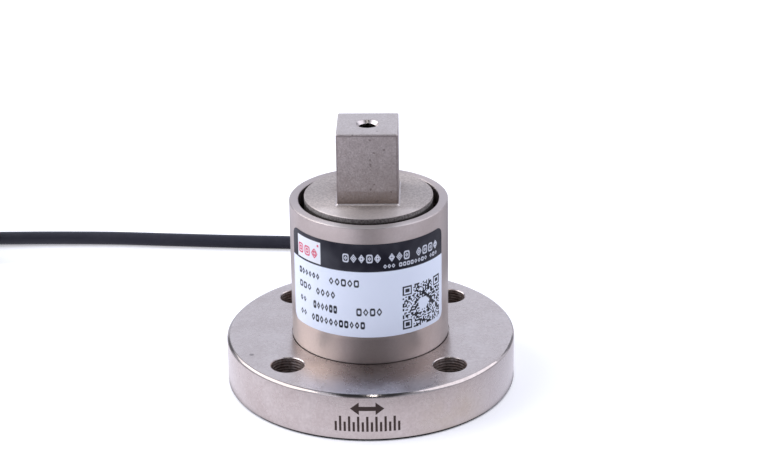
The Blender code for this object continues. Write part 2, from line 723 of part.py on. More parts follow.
def make_far_end():
    """The shrunk sleeve on the cable's far end and the five bare leads, lying on the coil."""
    sleeve_radius = CABLE_RADIUS + END_SLEEVE_WALL
    level = COIL_HEIGHT + GAP + sleeve_radius
    turns = [END_SLEEVE_START + END_SLEEVE_TURN * i / 4 for i in range(5)]
    line = [on_coil(COIL_RADIUS, turn, level) for turn in turns]
    tube("end_sleeve", line, sleeve_radius, RUBBER)
    rest = COIL_HEIGHT + GAP + LEAD_RADIUS
    first = turns[-1] + GAP / COIL_RADIUS
    spread = 2.5 * LEAD_RADIUS
    for i, (name, side, lift, material) in enumerate(
        (
            ("lead_red", -1, 0, RED),
            ("lead_black", 0, -1, BLACK),
            ("lead_shield", 0, 0, COPPER),
            ("lead_green", 0, 1, GREEN),
            ("lead_white", 1, 0, WHITE),
        )
    ):
        away = (i - 2) * LEAD_PITCH
        settling = LEAD_TURN * LEAD_SETTLING
        falling = max(rest, level + lift * spread * 0.8)
        points = [
            on_coil(COIL_RADIUS + side * spread, first, level + lift * spread),
            on_coil(COIL_RADIUS + away * 0.5, first + settling, falling),
            on_coil(COIL_RADIUS + away, first + 2 * settling, rest),
            on_coil(COIL_RADIUS + away, first + 3 * settling, rest),
            on_coil(COIL_RADIUS + away, first + LEAD_TURN, rest),
        ]
        tube(name, smooth_line(points, 5 * LEAD_RADIUS), LEAD_RADIUS, material)


for old in list(bpy.data.objects):
    bpy.data.objects.remove(old, do_unlink=True)
PARTS = make_collection("Torque_Sensor")
CUTTERS = make_collection("Cutters")
STEEL = make_material("turned_steel", (0.60, 0.57, 0.55), 0.32, 1.0)
NICKEL = make_material("nickel_plate", (0.66, 0.62, 0.56), 0.25, 1.0)
FILM = make_material("label_film", (0.86, 0.88, 0.93), 0.35)
SHEATH = make_material("cable_sheath", (0.030, 0.030, 0.036), 0.55)
RUBBER = make_material("black_rubber", (0.02, 0.02, 0.02), 0.7)
NYLON = make_material("natural_nylon", (0.72, 0.71, 0.66), 0.45)
FOIL = make_material("gauge_foil", (0.62, 0.36, 0.14), 0.4)
LAMINATE = make_material("board_laminate", (0.04, 0.20, 0.09), 0.45)
CERAMIC = make_material("chip_ceramic", (0.03, 0.03, 0.03), 0.4)
COPPER = make_material("tinned_copper", (0.70, 0.62, 0.55), 0.35, 1.0)
RED = make_material("core_red", (0.55, 0.03, 0.03), 0.5)
BLACK = make_material("core_black", (0.02, 0.02, 0.02), 0.5)
GREEN = make_material("core_green", (0.03, 0.30, 0.08), 0.5)
WHITE = make_material("core_white", (0.80, 0.80, 0.78), 0.5)

make_torsion_body()
make_sleeve()
make_label()
make_board()
make_gauges()
make_gland_body()
make_gland_seal()
make_gland_cap()
make_gland_locknut()
make_ferrule()
make_cores()
make_cable()
make_coil()
make_tie()
make_far_end()
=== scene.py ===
"""Static torque sensor on a white table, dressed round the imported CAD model.

The sections follow the sensor as it is put together: the torsion body, the board and gauges inside, the
sleeve, the gland, the cable with its coil, and the label last. Sizes and places are in millimetres, in the
finishes too, except where a name or comment says metres.
"""

import math

import bmesh
import bpy
import numpy as np
from mathutils import Matrix, Vector


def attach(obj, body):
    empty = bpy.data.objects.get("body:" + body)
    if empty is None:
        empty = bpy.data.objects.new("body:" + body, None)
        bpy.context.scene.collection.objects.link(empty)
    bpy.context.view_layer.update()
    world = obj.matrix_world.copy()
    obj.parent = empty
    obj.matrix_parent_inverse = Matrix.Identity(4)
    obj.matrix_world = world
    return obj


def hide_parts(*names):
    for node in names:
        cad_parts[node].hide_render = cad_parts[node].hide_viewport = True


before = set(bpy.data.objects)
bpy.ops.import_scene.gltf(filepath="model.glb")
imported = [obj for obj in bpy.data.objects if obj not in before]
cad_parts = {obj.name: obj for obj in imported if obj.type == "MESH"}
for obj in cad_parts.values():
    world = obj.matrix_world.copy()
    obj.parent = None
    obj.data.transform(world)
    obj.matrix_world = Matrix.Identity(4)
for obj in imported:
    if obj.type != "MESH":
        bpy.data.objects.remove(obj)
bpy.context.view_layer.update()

# Torsion body

# One piece of stainless steel. The flange, the spigot and the disc are turned, the thin column inside and the
# square drive are milled, and the square's faces are ground to size. Four holes go through the flange.

MM = 0.001
FLANGE_RADIUS = 29.0
FLANGE_TOP = 10.0
FLANGE_EDGE = 0.5
RECESS_RADIUS = 10.0
RECESS_TOP = 2.0
SPIGOT_RADIUS = 13.85
SPIGOT_TOP = 13.0
SEAT_RADIUS = 15.88
SEAT_Z = 9.7
BOLT_HOLE_RADIUS = 3.25
BOLT_CIRCLE_RADIUS = 22.5
RIDGE_PITCH = 0.6
COLUMN_HALF = 3.0
COLUMN_FILLET = 2.0
DISC_RADIUS = 12.75
DISC_UNDERSIDE = 33.75
DISC_TOP = 39.75
DRIVE_HALF = 6.0
DRIVE_TOP = 54.5
DRIVE_FILLET = 0.35
DRIVE_EDGE = 0.22
DRIVE_CORNER = 0.3
TAP_RADIUS = 1.7
TAP_FOOT = 45.6
TAP_MOUTH_RADIUS = 2.3
THREAD_DEPTH = 0.3
THREAD_PITCH = 0.7


def round_off(corners, steps=5):
    """A polyline from corners (x, y, radius): each corner gives way to the arc that touches both its sides.

    The arc's centre lies on the line that halves the corner, radius / sin(half the angle) away from it.
    """
    line = [corners[0][:2]]
    for before, corner, after in zip(corners, corners[1:], corners[2:]):
        point = np.array(corner[:2], float)
        back = np.array(before[:2]) - point
        on = np.array(after[:2]) - point
        back, on = back / np.linalg.norm(back), on / np.linalg.norm(on)
        half = math.acos(max(-1.0, min(1.0, float(back @ on)))) / 2
        if not corner[2] or half > 1.5:
            line.append(tuple(point))
            continue
        middle = (back + on) / np.linalg.norm(back + on)
        centre = point + middle * corner[2] / math.sin(half)
        start, end = (point + side * corner[2] / math.tan(half) - centre for side in (back, on))
        share = np.linspace(0, 1, steps + 1)[:, None]
        sweep = math.pi - 2 * half
        arc = (np.sin((1 - share) * sweep) * start + np.sin(share * sweep) * end) / math.sin(sweep)
        line += [tuple(centre + step) for step in arc]
    line.append(corners[-1][:2])
    return np.array(line, float)


def around(radius, angle, height):
    """The grid x = r cos a, y = r sin a, z = height, from a column or grid of radii and a column of
    heights."""
    return np.stack(np.broadcast_arrays(radius * np.cos(angle), radius * np.sin(angle), height), axis=-1)


def turn_round(profile, steps=256):
    """The grid of a turned shape: each point (r, z) of the profile runs once round the axis."""
    radius, height = np.asarray(profile, float).T[:, :, None]
    return around(radius, np.linspace(0, 2 * np.pi, steps, endpoint=False), height)


def mill_square(half, corner, height, steps=6):
    """The grid of a square bar with rounded edges: at each height, four corner arcs whose centres lie
    (half - corner) out along both X and Y, with that corner radius."""
    arc = np.linspace(0, np.pi / 2, steps + 1)
    angle = np.concatenate([arc + k * np.pi / 2 for k in range(4)])
    side = np.repeat(np.array([(1, 1), (-1, 1), (-1, -1), (1, -1)]), steps + 1, axis=0)
    half, corner, height = (np.asarray(v, float)[:, None] for v in (half, corner, height))
    x = (half - corner) * side[:, 0] + corner * np.cos(angle)
    y = (half - corner) * side[:, 1] + corner * np.sin(angle)
    return np.stack([x, y, height + 0 * x], axis=-1)


def grid_faces(index):
    """The faces on a grid of point numbers: four neighbours make one."""
    corners = (index[:-1, :-1], index[:-1, 1:], index[1:, 1:], index[1:, :-1])
    return np.stack(corners, axis=-1).reshape(-1, 4)


def fill_mesh(name, points, faces):
    """A mesh from arrays of points in millimetres and of four point numbers a face."""
    mesh = bpy.data.meshes.new(name)
    mesh.vertices.add(len(points))
    mesh.vertices.foreach_set("co", (points * MM).astype(np.float32).ravel())
    mesh.loops.add(faces.size)
    mesh.loops.foreach_set("vertex_index", faces.astype(np.int32).ravel())
    mesh.polygons.add(len(faces))
    mesh.polygons.foreach_set("loop_start", np.arange(0, faces.size, 4, dtype=np.int32))
    mesh.update(calc_edges=True)
    return mesh


def close_up(mesh):
    """Joins doubled points, drops faces without area and turns every face outwards."""
    work = bmesh.new()
    work.from_mesh(mesh)
    bmesh.ops.remove_doubles(work, verts=work.verts, dist=1e-7)
    bmesh.ops.dissolve_degenerate(work, edges=work.edges, dist=1e-8)
    bmesh.ops.recalc_face_normals(work, faces=work.faces)
    work.to_mesh(mesh)
    work.free()


def lay_surface(name, grid, rows_meet=False):
    """A closed mesh on a grid of points whose columns meet in a ring, with its poles and seams joined.
    rows_meet also joins the last row to the first."""
    rows, columns = grid.shape[:2]
    index = np.arange(rows * columns).reshape(rows, columns)
    index = np.hstack([index, index[:, :1]])
    if rows_meet:
        index = np.vstack([index, index[:1]])
    mesh = fill_mesh(name, grid.reshape(-1, 3), grid_faces(index))
    close_up(mesh)
    return mesh


def smooth(mesh, sharp):
    """Shades a mesh smooth, except where faces meet at more than the sharp angle, in degrees."""
    mesh.shade_smooth()
    mesh.set_sharp_from_angle(angle=math.radians(sharp))


def show(name, mesh, *materials, sharp=30.0):
    """Puts a finished mesh into the scene with its materials."""
    piece = bpy.data.objects.new(name, mesh)
    bpy.context.scene.collection.objects.link(piece)
    for material in materials:
        mesh.materials.append(material)
    smooth(mesh, sharp)
    return piece


def combine(piece, mesh, operation):
    """Joins a shape to a piece, or cuts it out, with an exact Boolean that is applied at once. Each face
    keeps its material number."""
    tool = bpy.data.objects.new("tool", mesh)
    bpy.context.scene.collection.objects.link(tool)
    step = piece.modifiers.new("step", "BOOLEAN")
    step.object = tool
    step.operation = operation
    step.solver = "EXACT"
    step.material_mode = "INDEX"
    result = bpy.data.meshes.new_from_object(piece.evaluated_get(bpy.context.evaluated_depsgraph_get()))
    old = piece.data
    piece.modifiers.clear()
    piece.data = result
    bpy.data.meshes.remove(old)
    bpy.data.objects.remove(tool)
    bpy.data.meshes.remove(mesh)


def paint_second(mesh):
    """Gives every face of a mesh the second of its piece's materials."""
    mesh.polygons.foreach_set("material_index", np.ones(len(mesh.polygons), np.int32))
    return mesh


class Bench:
    """Short words for wiring nodes in one tree. Places are in millimetres and noise scales per millimetre."""

    def __init__(self, tree):
        self.tree = tree

    def feed(self, socket, value):
        """Links a socket to another, or sets it. A colour of three numbers is made opaque."""
        if isinstance(value, bpy.types.NodeSocket):
            self.tree.links.new(value, socket)
        elif socket.type == "RGBA" and len(value) == 3:
            socket.default_value = (*value, 1.0)
        else:
            socket.default_value = value

    def wire(self, node, **values):
        """Feeds a node's inputs by name, with _ for each space."""
        for label, value in values.items():
            self.feed(node.inputs[label.replace("_", " ")], value)

    def add(self, kind, links=None, **settings):
        """A node of that kind, with its settings, and its inputs fed by number or name."""
        node = self.tree.nodes.new("ShaderNode" + kind)
        for label, value in settings.items():
            setattr(node, label, value)
        for label, value in (links or {}).items():
            self.feed(node.inputs[label], value)
        return node

    def use(self, group, **values):
        """The outputs of a shared effect, with this finish's own values."""
        node = self.tree.nodes.new("ShaderNodeGroup")
        node.node_tree = group
        self.wire(node, **values)
        return node.outputs

    def math(self, operation, a, b=0.0, clamp=False):
        """One arithmetic step."""
        return self.add("Math", {0: a, 1: b}, operation=operation, use_clamp=clamp).outputs[0]

    def all_by(self, operation, first, others):
        """One operation carried through a row of values."""
        for other in others:
            first = self.math(operation, first, other)
        return first

    def times(self, first, *others):
        """A product."""
        return self.all_by("MULTIPLY", first, others)

    def plus(self, first, *others):
        """A sum."""
        return self.all_by("ADD", first, others)

    def most(self, first, *others):
        """The largest value."""
        return self.all_by("MAXIMUM", first, others)

    def minus(self, a, b):
        """A difference."""
        return self.math("SUBTRACT", a, b)

    def size(self, value):
        """A value without its sign."""
        return self.math("ABSOLUTE", value)

    def above(self, value, bound):
        """1 above the bound, else 0."""
        return self.math("GREATER_THAN", value, bound)

    def below(self, value, bound):
        """1 below the bound, else 0."""
        return self.math("LESS_THAN", value, bound)

    def between(self, value, low, high):
        """1 between two bounds, else 0."""
        return self.times(self.above(value, low), self.below(value, high))

    def span(self, value, low, high, to_low=0.0, to_high=1.0):
        """Carries a value from one range to another, clamped."""
        links = {"Value": value, "From Min": low, "From Max": high, "To Min": to_low, "To Max": to_high}
        return self.add("MapRange", links).outputs[0]

    def mix(self, share, first, second):
        """A colour between two others."""
        node = self.add("Mix", data_type="RGBA")
        self.feed(node.inputs[0], share)
        self.feed(node.inputs[6], first)
        self.feed(node.inputs[7], second)
        return node.outputs[2]

    def tint(self, level, *shares):
        """A colour whose red, green and blue are these shares of one level."""
        parts = {k: self.times(level, share) for k, share in enumerate(shares)}
        return self.add("CombineColor", parts).outputs[0]

    def place(self):
        """Object coordinates, in millimetres."""
        metres = self.add("TexCoord").outputs["Object"]
        return self.add("VectorMath", {0: metres, "Scale": 1 / MM}, operation="SCALE").outputs[0]

    def xyz(self):
        """The three object coordinates, in millimetres."""
        return self.add("SeparateXYZ", {0: self.place()}).outputs

    def radius(self, x, y):
        """The distance from an axis: the root of x x + y y."""
        return self.math("SQRT", self.plus(self.times(x, x), self.times(y, y)))

    def noise(self, vector, scale, detail=2.0, roughness=0.5):
        """Soft noise, about 0.5 in the mean."""
        links = {"Vector": vector, "Scale": scale, "Detail": detail, "Roughness": roughness}
        return self.add("TexNoise", links).outputs[0]

    def cells(self, vector, scale):
        """Scattered points: the distance from the nearest one, and two numbers that are drawn for it."""
        cells = self.add("TexVoronoi", {"Vector": vector, "Scale": scale, "Randomness": 1.0}).outputs
        draw = self.add("SeparateColor", {0: cells["Color"]}).outputs
        return cells["Distance"], draw[0], draw[1]

    def bump(self, shader, height, depth):
        """Feeds a height to a shader's normal. A height of 1 stands that depth out, in millimetres."""
        node = self.add("Bump", {"Height": height, "Distance": depth * MM})
        self.feed(shader.inputs["Normal"], node.outputs["Normal"])


def new_finish(name, colour, roughness, metallic=0.0, **sockets):
    """A material with its Principled shader and a bench to wire its details on."""
    material = bpy.data.materials.new(name)
    material.use_nodes = True
    shader = material.node_tree.nodes["Principled BSDF"]
    bench = Bench(material.node_tree)
    bench.wire(shader, Base_Color=colour, Roughness=roughness, Metallic=metallic, **sockets)
    return material, shader, bench


def new_effect(name, inputs, outputs):
    """A shader group for an effect that several finishes share, with its bench, what its inputs give and
    what its outputs take."""
    group = bpy.data.node_groups.new(name, "ShaderNodeTree")
    for label, value in inputs.items():
        group.interface.new_socket(label, in_out="INPUT", socket_type="NodeSocketFloat").default_value = value
    for label in outputs:
        group.interface.new_socket(label, in_out="OUTPUT", socket_type="NodeSocketFloat")
    entry = group.nodes.new("NodeGroupInput").outputs
    leave = group.nodes.new("NodeGroupOutput").inputs
    return group, Bench(group), entry, leave


# Turning marks: noise on the radius and the height only, so that it runs round the axis in fine rings,
# on a flat face and on a round one alike.
turning_marks, bench, entry, leave = new_effect("turning_marks", {"Pitch": 0.2}, ["Rings"])
x, y, z = bench.xyz()
along = bench.plus(bench.radius(x, y), bench.times(z, 1.37))
turns = bench.math("DIVIDE", along, entry["Pitch"])
rings = bench.add("TexNoise", {"W": turns, "Scale": 1.0, "Detail": 2.0}, noise_dimensions="1D").outputs[0]
bench.feed(leave["Rings"], rings)

# Handling haze: broad soft clouds and small flecks, as on satin steel that has been wiped and handled.
handling_haze, bench, entry, leave = new_effect(
    "handling_haze", {"Cloud Size": 6.0, "Fleck Size": 0.6}, ["Clouds", "Flecks"]
)
for kind, detail in (("Cloud", 4.0), ("Fleck", 2.0)):
    scale = bench.math("DIVIDE", 1.0, entry[kind + " Size"])
    bench.feed(leave[kind + "s"], bench.span(bench.noise(bench.place(), scale, detail, 0.6), 0.3, 0.7))


def rim_marks(bench, x, y, z):
    """Laser marks on the flange's rim, 1 inside them: a double arrow over a scale of long and short lines.
    Their place is the run along the rim, radius x the angle from the front, and the height."""
    pitch = 0.88
    run = bench.size(bench.times(bench.math("ARCTAN2", x, bench.times(y, -1.0)), FLANGE_RADIUS))
    step = bench.math("ROUND", bench.math("DIVIDE", run, pitch))
    off = bench.size(bench.minus(run, bench.times(step, pitch)))
    top = bench.minus(5.4, bench.times(bench.math("MODULO", step, 2.0), 1.2))
    lines = bench.times(bench.below(off, 0.23), bench.below(run, 6.8), bench.between(z, 2.15, top))
    rise = bench.size(bench.minus(z, 7.1))
    shaft = bench.times(bench.below(rise, 0.46), bench.below(run, 1.8))
    slope = bench.times(bench.minus(3.3, run), 0.8)
    head = bench.times(bench.below(rise, slope), bench.above(run, 1.6))
    return bench.times(bench.most(lines, shaft, head), bench.below(y, -25.0))


def turned_steel_finish():
    """Satin turned stainless steel: fine rings, haze, small dark spots, a prick mark and painted reflections on
    the flange's top.
    The disc is grainier, with painted reflection and shade, the hole walls are darkened brown, and the rim has
    its laser marks."""
    material, shader, bench = new_finish(
        "turned_steel", (0.56, 0.49, 0.465), 0.3, 1.0, Anisotropic=0.5, Anisotropic_Rotation=0.25
    )
    haze = bench.use(handling_haze, Cloud_Size=6.0, Fleck_Size=0.6)
    rings = bench.use(turning_marks, Pitch=0.18)["Rings"]
    place = bench.place()
    x, y, z = bench.xyz()
    steel = bench.mix(haze["Clouds"], (0.50, 0.432, 0.402), (0.61, 0.543, 0.515))
    steel = bench.mix(bench.times(haze["Flecks"], 0.6), steel, (0.43, 0.37, 0.345))
    distance, chance, size = bench.cells(place, 0.42)
    spot = bench.times(bench.below(distance, bench.times(size, 0.16)), bench.above(chance, 0.9))
    steel = bench.mix(bench.times(spot, 0.28), steel, (0.14, 0.11, 0.10))

    # A patch of the flange's top in front, left of the middle, is painted brighter: a painted reflection.
    painted_reflection_patch = bench.times(bench.span(x, -16.0, -11.0), bench.span(x, -3.0, -8.0), bench.span(y, -14.0, -17.0))
    painted_reflection_patch = bench.times(painted_reflection_patch, bench.between(z, FLANGE_TOP - 0.5, FLANGE_TOP + 1))
    steel = bench.mix(bench.times(painted_reflection_patch, 0.5), steel, (0.80, 0.69, 0.62))
    # A small prick mark on the flange's top, left in front.
    prick = bench.add("VectorMath", {0: place, 1: (-23.3, -11.4, FLANGE_TOP)}, operation="DISTANCE")
    steel = bench.mix(bench.span(prick.outputs["Value"], 0.3, 0.6, 0.65, 0.0), steel, (0.14, 0.12, 0.12))
    # Close to its front edge the flange's top is painted bluer and lighter: a painted reflection.
    painted_blue_reflection = bench.times(bench.span(y, -19.0, -24.0), bench.span(bench.size(x), 14.0, 5.0))
    painted_blue_reflection = bench.times(painted_blue_reflection, bench.between(z, FLANGE_TOP - 0.2, FLANGE_TOP + 1))
    steel = bench.mix(bench.times(painted_blue_reflection, 0.5), steel, (0.60, 0.585, 0.63))

    # The disc on top of the column is rougher and grainier than the flange, and painted paler in front: a
    # painted reflection.
    # Its side is painted dark as shade, most of all in front and inside the sleeve.
    disc = bench.above(z, DISC_TOP - 0.15)
    side = bench.between(z, DISC_UNDERSIDE - 0.75, DISC_TOP - 0.15)
    grain = bench.span(bench.noise(place, 2.6, 2.0, 0.6), 0.35, 0.65)
    face = bench.mix(grain, (0.34, 0.29, 0.255), (0.665, 0.60, 0.54))
    steel = bench.mix(bench.times(disc, 0.5), steel, face)
    steel = bench.mix(bench.times(disc, bench.span(y, -6.5, -8.5, 0.0, 0.6)), steel, (0.76, 0.69, 0.65))
    # The side's grain, darkened by painted shade in the gap under the sleeve's rim.
    wall = bench.mix(grain, (0.17, 0.15, 0.14), (0.40, 0.37, 0.35))
    wall = bench.mix(bench.span(y, -9.5, -12.0, 0.0, 0.35), wall, (0.10, 0.085, 0.08))
    wall = bench.mix(bench.span(z, 38.9, 38.6), wall, (0.03, 0.025, 0.022))
    steel = bench.mix(bench.times(side, 0.92), steel, wall)

    # The flange's upper edge was turned last, with a sharp tool. It is bright and smooth, and painted darker at
    # the left: painted shade that dims its highlight there.
    bright = bench.between(z, FLANGE_TOP - FLANGE_EDGE - 0.1, FLANGE_TOP)
    bright = bench.times(bright, bench.above(bench.radius(x, y), FLANGE_RADIUS - FLANGE_EDGE - 0.1))
    steel = bench.mix(bench.times(bright, bench.span(x, -6.0, -12.0, 0.0, 0.8)), steel, (0.26, 0.225, 0.205))
    # Inside the four bolt holes, whose axes lie on both diagonals, the wall is darkened to a mottled brown.
    diagonal = BOLT_CIRCLE_RADIUS / math.sqrt(2)
    away = bench.radius(*(bench.minus(bench.size(run), diagonal) for run in (x, y)))
    inside = bench.times(bench.below(away, BOLT_HOLE_RADIUS + 0.2), bench.below(z, FLANGE_TOP - 0.15))
    hole_darkening = bench.span(bench.noise(place, 1.5, 3.0, 0.7), 0.35, 0.65, 0.4, 0.8)
    steel = bench.mix(bench.times(inside, hole_darkening), steel, (0.105, 0.052, 0.036))
    # The rim is stained warm low down at the right, and cooler further round.
    warm = bench.span(bench.noise(place, 0.15, 3.0, 0.6), 0.35, 0.6)
    warm = bench.times(warm, bench.span(x, 7.0, 14.0), bench.span(x, 24.0, 19.0))
    warm = bench.times(warm, bench.span(z, 9.2, 4.0), bench.below(y, 0.0))
    steel = bench.mix(bench.times(warm, 0.45), steel, (0.47, 0.40, 0.31))
    cool = bench.times(bench.span(x, 19.0, 26.0), bench.below(z, 9.4))
    steel = bench.mix(bench.times(cool, 0.5), steel, (0.48, 0.465, 0.475))
    marks = rim_marks(bench, x, y, z)
    steel = bench.mix(bench.times(marks, 0.93), steel, (0.035, 0.02, 0.016))

    dull = bench.plus(bench.times(inside, 0.3), bench.times(disc, 0.33), bench.times(side, 0.4))
    dull = bench.plus(dull, bench.times(marks, 0.2), bench.times(bright, -0.17))
    rough = bench.plus(bench.span(haze["Clouds"], 0, 1, 0.23, 0.32), dull)
    streaks = bench.times(bench.minus(1.0, bright), 0.5)
    bench.wire(shader, Base_Color=steel, Roughness=rough, Anisotropic=streaks)
    bench.bump(shader, bench.plus(rings, bench.times(haze["Flecks"], 0.6), bench.times(marks, -1.5)), 0.006)
    return material


def ground_steel_finish():
    """The square's ground faces: grainy, with small dark pits, painted shade that darkens and browns them
    towards the foot and along their edges, a painted highlight on the foot's fillet and painted light on the
    top face.
    The tapped hole is painted dark inside as shade and has a bright mouth."""
    material, shader, bench = new_finish("ground_steel", (0.56, 0.49, 0.465), 0.42, 1.0)
    haze = bench.use(handling_haze, Cloud_Size=2.2, Fleck_Size=0.34)
    place = bench.place()
    x, y, z = bench.xyz()
    distance, chance, size = bench.cells(place, 1.5)
    rare = bench.span(bench.noise(place, 0.26), 0.35, 0.65, 0.99, 0.88)
    size = bench.plus(bench.times(size, 0.3), 0.1)
    pit = bench.times(bench.below(distance, size), bench.above(chance, rare))
    steel = bench.mix(haze["Clouds"], (0.48, 0.415, 0.395), (0.61, 0.545, 0.525))
    steel = bench.mix(bench.times(haze["Flecks"], 0.8), steel, (0.37, 0.32, 0.30))

    # Painted shade darkens and browns the square towards its foot, most in a band just over it, and a painted
    # highlight lies on the foot's fillet in front.
    rise = bench.minus(z, DISC_TOP)
    painted_foot_shade = bench.times(bench.span(rise, 0.45, 2.25, 0.85, 0.6), bench.span(rise, 2.65, 3.85, 1.0, 0.0))
    painted_foot_shade = bench.most(painted_foot_shade, bench.span(rise, 3.25, 13.25, 0.3, 0.0))
    steel = bench.mix(bench.times(painted_foot_shade, bench.span(rise, 0.25, 0.45)), steel, (0.22, 0.165, 0.13))
    painted_fillet_highlight = bench.times(bench.span(rise, 0.3, 0.15, 0.0, 0.8), bench.span(y, -5.7, -6.1, 0.1, 1.0))
    steel = bench.mix(painted_fillet_highlight, steel, (0.90, 0.82, 0.77))
    # The top face is painted paler, as painted light, and the square's edges are painted dark lines of shade.
    steel = bench.mix(bench.span(z, DRIVE_TOP - 0.3, DRIVE_TOP - 0.1, 0.0, 0.4), steel, (0.66, 0.59, 0.54))
    edge = bench.math("MINIMUM", bench.size(x), bench.size(y))
    edge = bench.span(edge, DRIVE_HALF - 0.4, DRIVE_HALF - DRIVE_EDGE)
    edge = bench.most(edge, bench.span(z, DRIVE_TOP - 0.6, DRIVE_TOP - 0.4))
    edge = bench.times(edge, bench.between(z, DISC_TOP + DRIVE_FILLET, DRIVE_TOP - 0.25))
    steel = bench.mix(bench.times(edge, 0.6), steel, (0.14, 0.115, 0.11))
    steel = bench.mix(bench.times(pit, 0.5), steel, (0.14, 0.11, 0.10))
    # The tapped hole, painted nearly black inside as shade, and its countersunk mouth.
    reach = bench.radius(x, y)
    bore = bench.below(reach, TAP_RADIUS + THREAD_DEPTH + 0.05)
    bore = bench.times(bore, bench.between(z, TAP_FOOT - 3.6, DRIVE_TOP - 0.62))
    steel = bench.mix(bench.times(bore, 0.96), steel, (0.016, 0.012, 0.010))
    mouth = bench.below(reach, TAP_MOUTH_RADIUS + 0.02)
    mouth = bench.times(mouth, bench.between(z, DRIVE_TOP - 0.62, DRIVE_TOP - 0.03))
    steel = bench.mix(mouth, steel, (0.56, 0.50, 0.48))

    rough = bench.plus(bench.span(haze["Flecks"], 0, 1, 0.36, 0.5), bench.times(mouth, -0.13))
    bench.wire(shader, Base_Color=steel, Roughness=rough)
    bench.bump(shader, bench.times(bench.minus(haze["Flecks"], pit), bench.minus(1.0, mouth)), 0.022)
    return material


TURNED_STEEL = turned_steel_finish()
GROUND_STEEL = ground_steel_finish()


def turned_base():
    """The flange with its recess below, the sleeve's seat and the spigot, as one turned profile."""
    return turn_round(
        round_off(
            [
                (0, SPIGOT_TOP, 0), (SPIGOT_RADIUS, SPIGOT_TOP, 0.3), (SPIGOT_RADIUS, SEAT_Z, 0.05),
                (SEAT_RADIUS, SEAT_Z, 0.03), (SEAT_RADIUS, FLANGE_TOP, 0.04),
                (FLANGE_RADIUS - FLANGE_EDGE, FLANGE_TOP, FLANGE_EDGE),
                (FLANGE_RADIUS, FLANGE_TOP - FLANGE_EDGE, FLANGE_EDGE),
                (FLANGE_RADIUS, FLANGE_EDGE, 0.12), (FLANGE_RADIUS - FLANGE_EDGE, 0, 0.12),
                (RECESS_RADIUS + 0.3, 0, 0.05), (RECESS_RADIUS, 0.3, 0.05),
                (RECESS_RADIUS, RECESS_TOP, 0.2), (0, RECESS_TOP, 0),
            ]
        ),
        384,
    )


def column_form():
    """The square column, which widens in a quarter circle at both ends and runs on into the spigot and the
    disc."""
    bow = np.linspace(0, np.pi / 2, 7)
    root = COLUMN_HALF + COLUMN_FILLET
    foot = root - COLUMN_FILLET * np.sin(bow)
    rise = COLUMN_FILLET * (1 - np.cos(bow))
    half = np.concatenate([[0, root], foot, foot[::-1], [root, 0]])
    low, high = SPIGOT_TOP - 0.6, DISC_UNDERSIDE + 0.65
    height = np.concatenate([[low, low], SPIGOT_TOP + rise, DISC_UNDERSIDE - rise[::-1], [high, high]])
    return mill_square(half, np.minimum(half, 0.3), height)


def disc_form():
    """The turned disc."""
    corners = [(0, DISC_TOP, 0), (DISC_RADIUS, DISC_TOP, 0.15), (DISC_RADIUS, DISC_UNDERSIDE, 0.15)]
    return turn_round(round_off([*corners, (0, DISC_UNDERSIDE, 0)]))


def drive_form():
    """The square drive: a small fillet at its foot, and a rounded edge round its top."""
    bow = np.linspace(0, np.pi / 2, 5)
    root = DRIVE_HALF + DRIVE_FILLET
    edge = DRIVE_EDGE * (1 - np.cos(bow))
    half = np.concatenate([[0, root], root - DRIVE_FILLET * np.sin(bow), DRIVE_HALF - edge, [0]])
    low = DISC_TOP - 0.75
    foot = DISC_TOP + DRIVE_FILLET * (1 - np.cos(bow))
    head = DRIVE_TOP - DRIVE_EDGE + DRIVE_EDGE * np.sin(bow)
    height = np.concatenate([[low, low], foot, head, [DRIVE_TOP]])
    corner = np.concatenate([[0, 2 * DRIVE_CORNER], np.full(5, DRIVE_CORNER), DRIVE_CORNER - edge, [0]])
    return mill_square(half, np.minimum(half, corner), height)


def bolt_hole_form():
    """A bolt hole: its wall's radius swells and shrinks along it in fine ridges, and both its mouths
    widen."""
    depth = np.linspace(0.3, FLANGE_TOP - 0.3, 144)
    wall = BOLT_HOLE_RADIUS + 0.04 * np.cos(2 * np.pi * depth / RIDGE_PITCH)
    foot = [(0, -1), (BOLT_HOLE_RADIUS + 1.3, -1)]
    high = FLANGE_TOP + 1.2
    mouth = [(BOLT_HOLE_RADIUS, FLANGE_TOP - 0.18), (BOLT_HOLE_RADIUS + 1.35, high), (0, high)]
    return turn_round(np.vstack([foot, np.column_stack([wall, depth]), mouth]), 96)


def tapped_hole_form():
    """The tapped hole: its radius runs between crest and root as height and angle advance together, and
    the thread fades out below the countersunk mouth."""
    steps = 72
    depth = np.linspace(TAP_FOOT, DRIVE_TOP - 0.62, 110)[:, None]
    angle = np.linspace(0, 2 * np.pi, steps, endpoint=False)
    phase = (depth / THREAD_PITCH - angle / (2 * np.pi)) % 1.0
    thread = TAP_RADIUS + THREAD_DEPTH * (1 - np.abs(2 * phase - 1))
    thread[-14:] += (TAP_RADIUS - thread[-14:]) * np.linspace(0, 1, 14)[:, None]
    point = turn_round([(0, TAP_FOOT - 1.1), (TAP_RADIUS - 0.04, TAP_FOOT - 0.1)], steps)
    mouth = [(TAP_RADIUS, DRIVE_TOP - 0.6), (TAP_MOUTH_RADIUS, DRIVE_TOP)]
    mouth += [(TAP_MOUTH_RADIUS + 1, DRIVE_TOP + 1), (0, DRIVE_TOP + 1)]
    return np.concatenate([point, around(thread, angle, depth), turn_round(mouth, steps)])


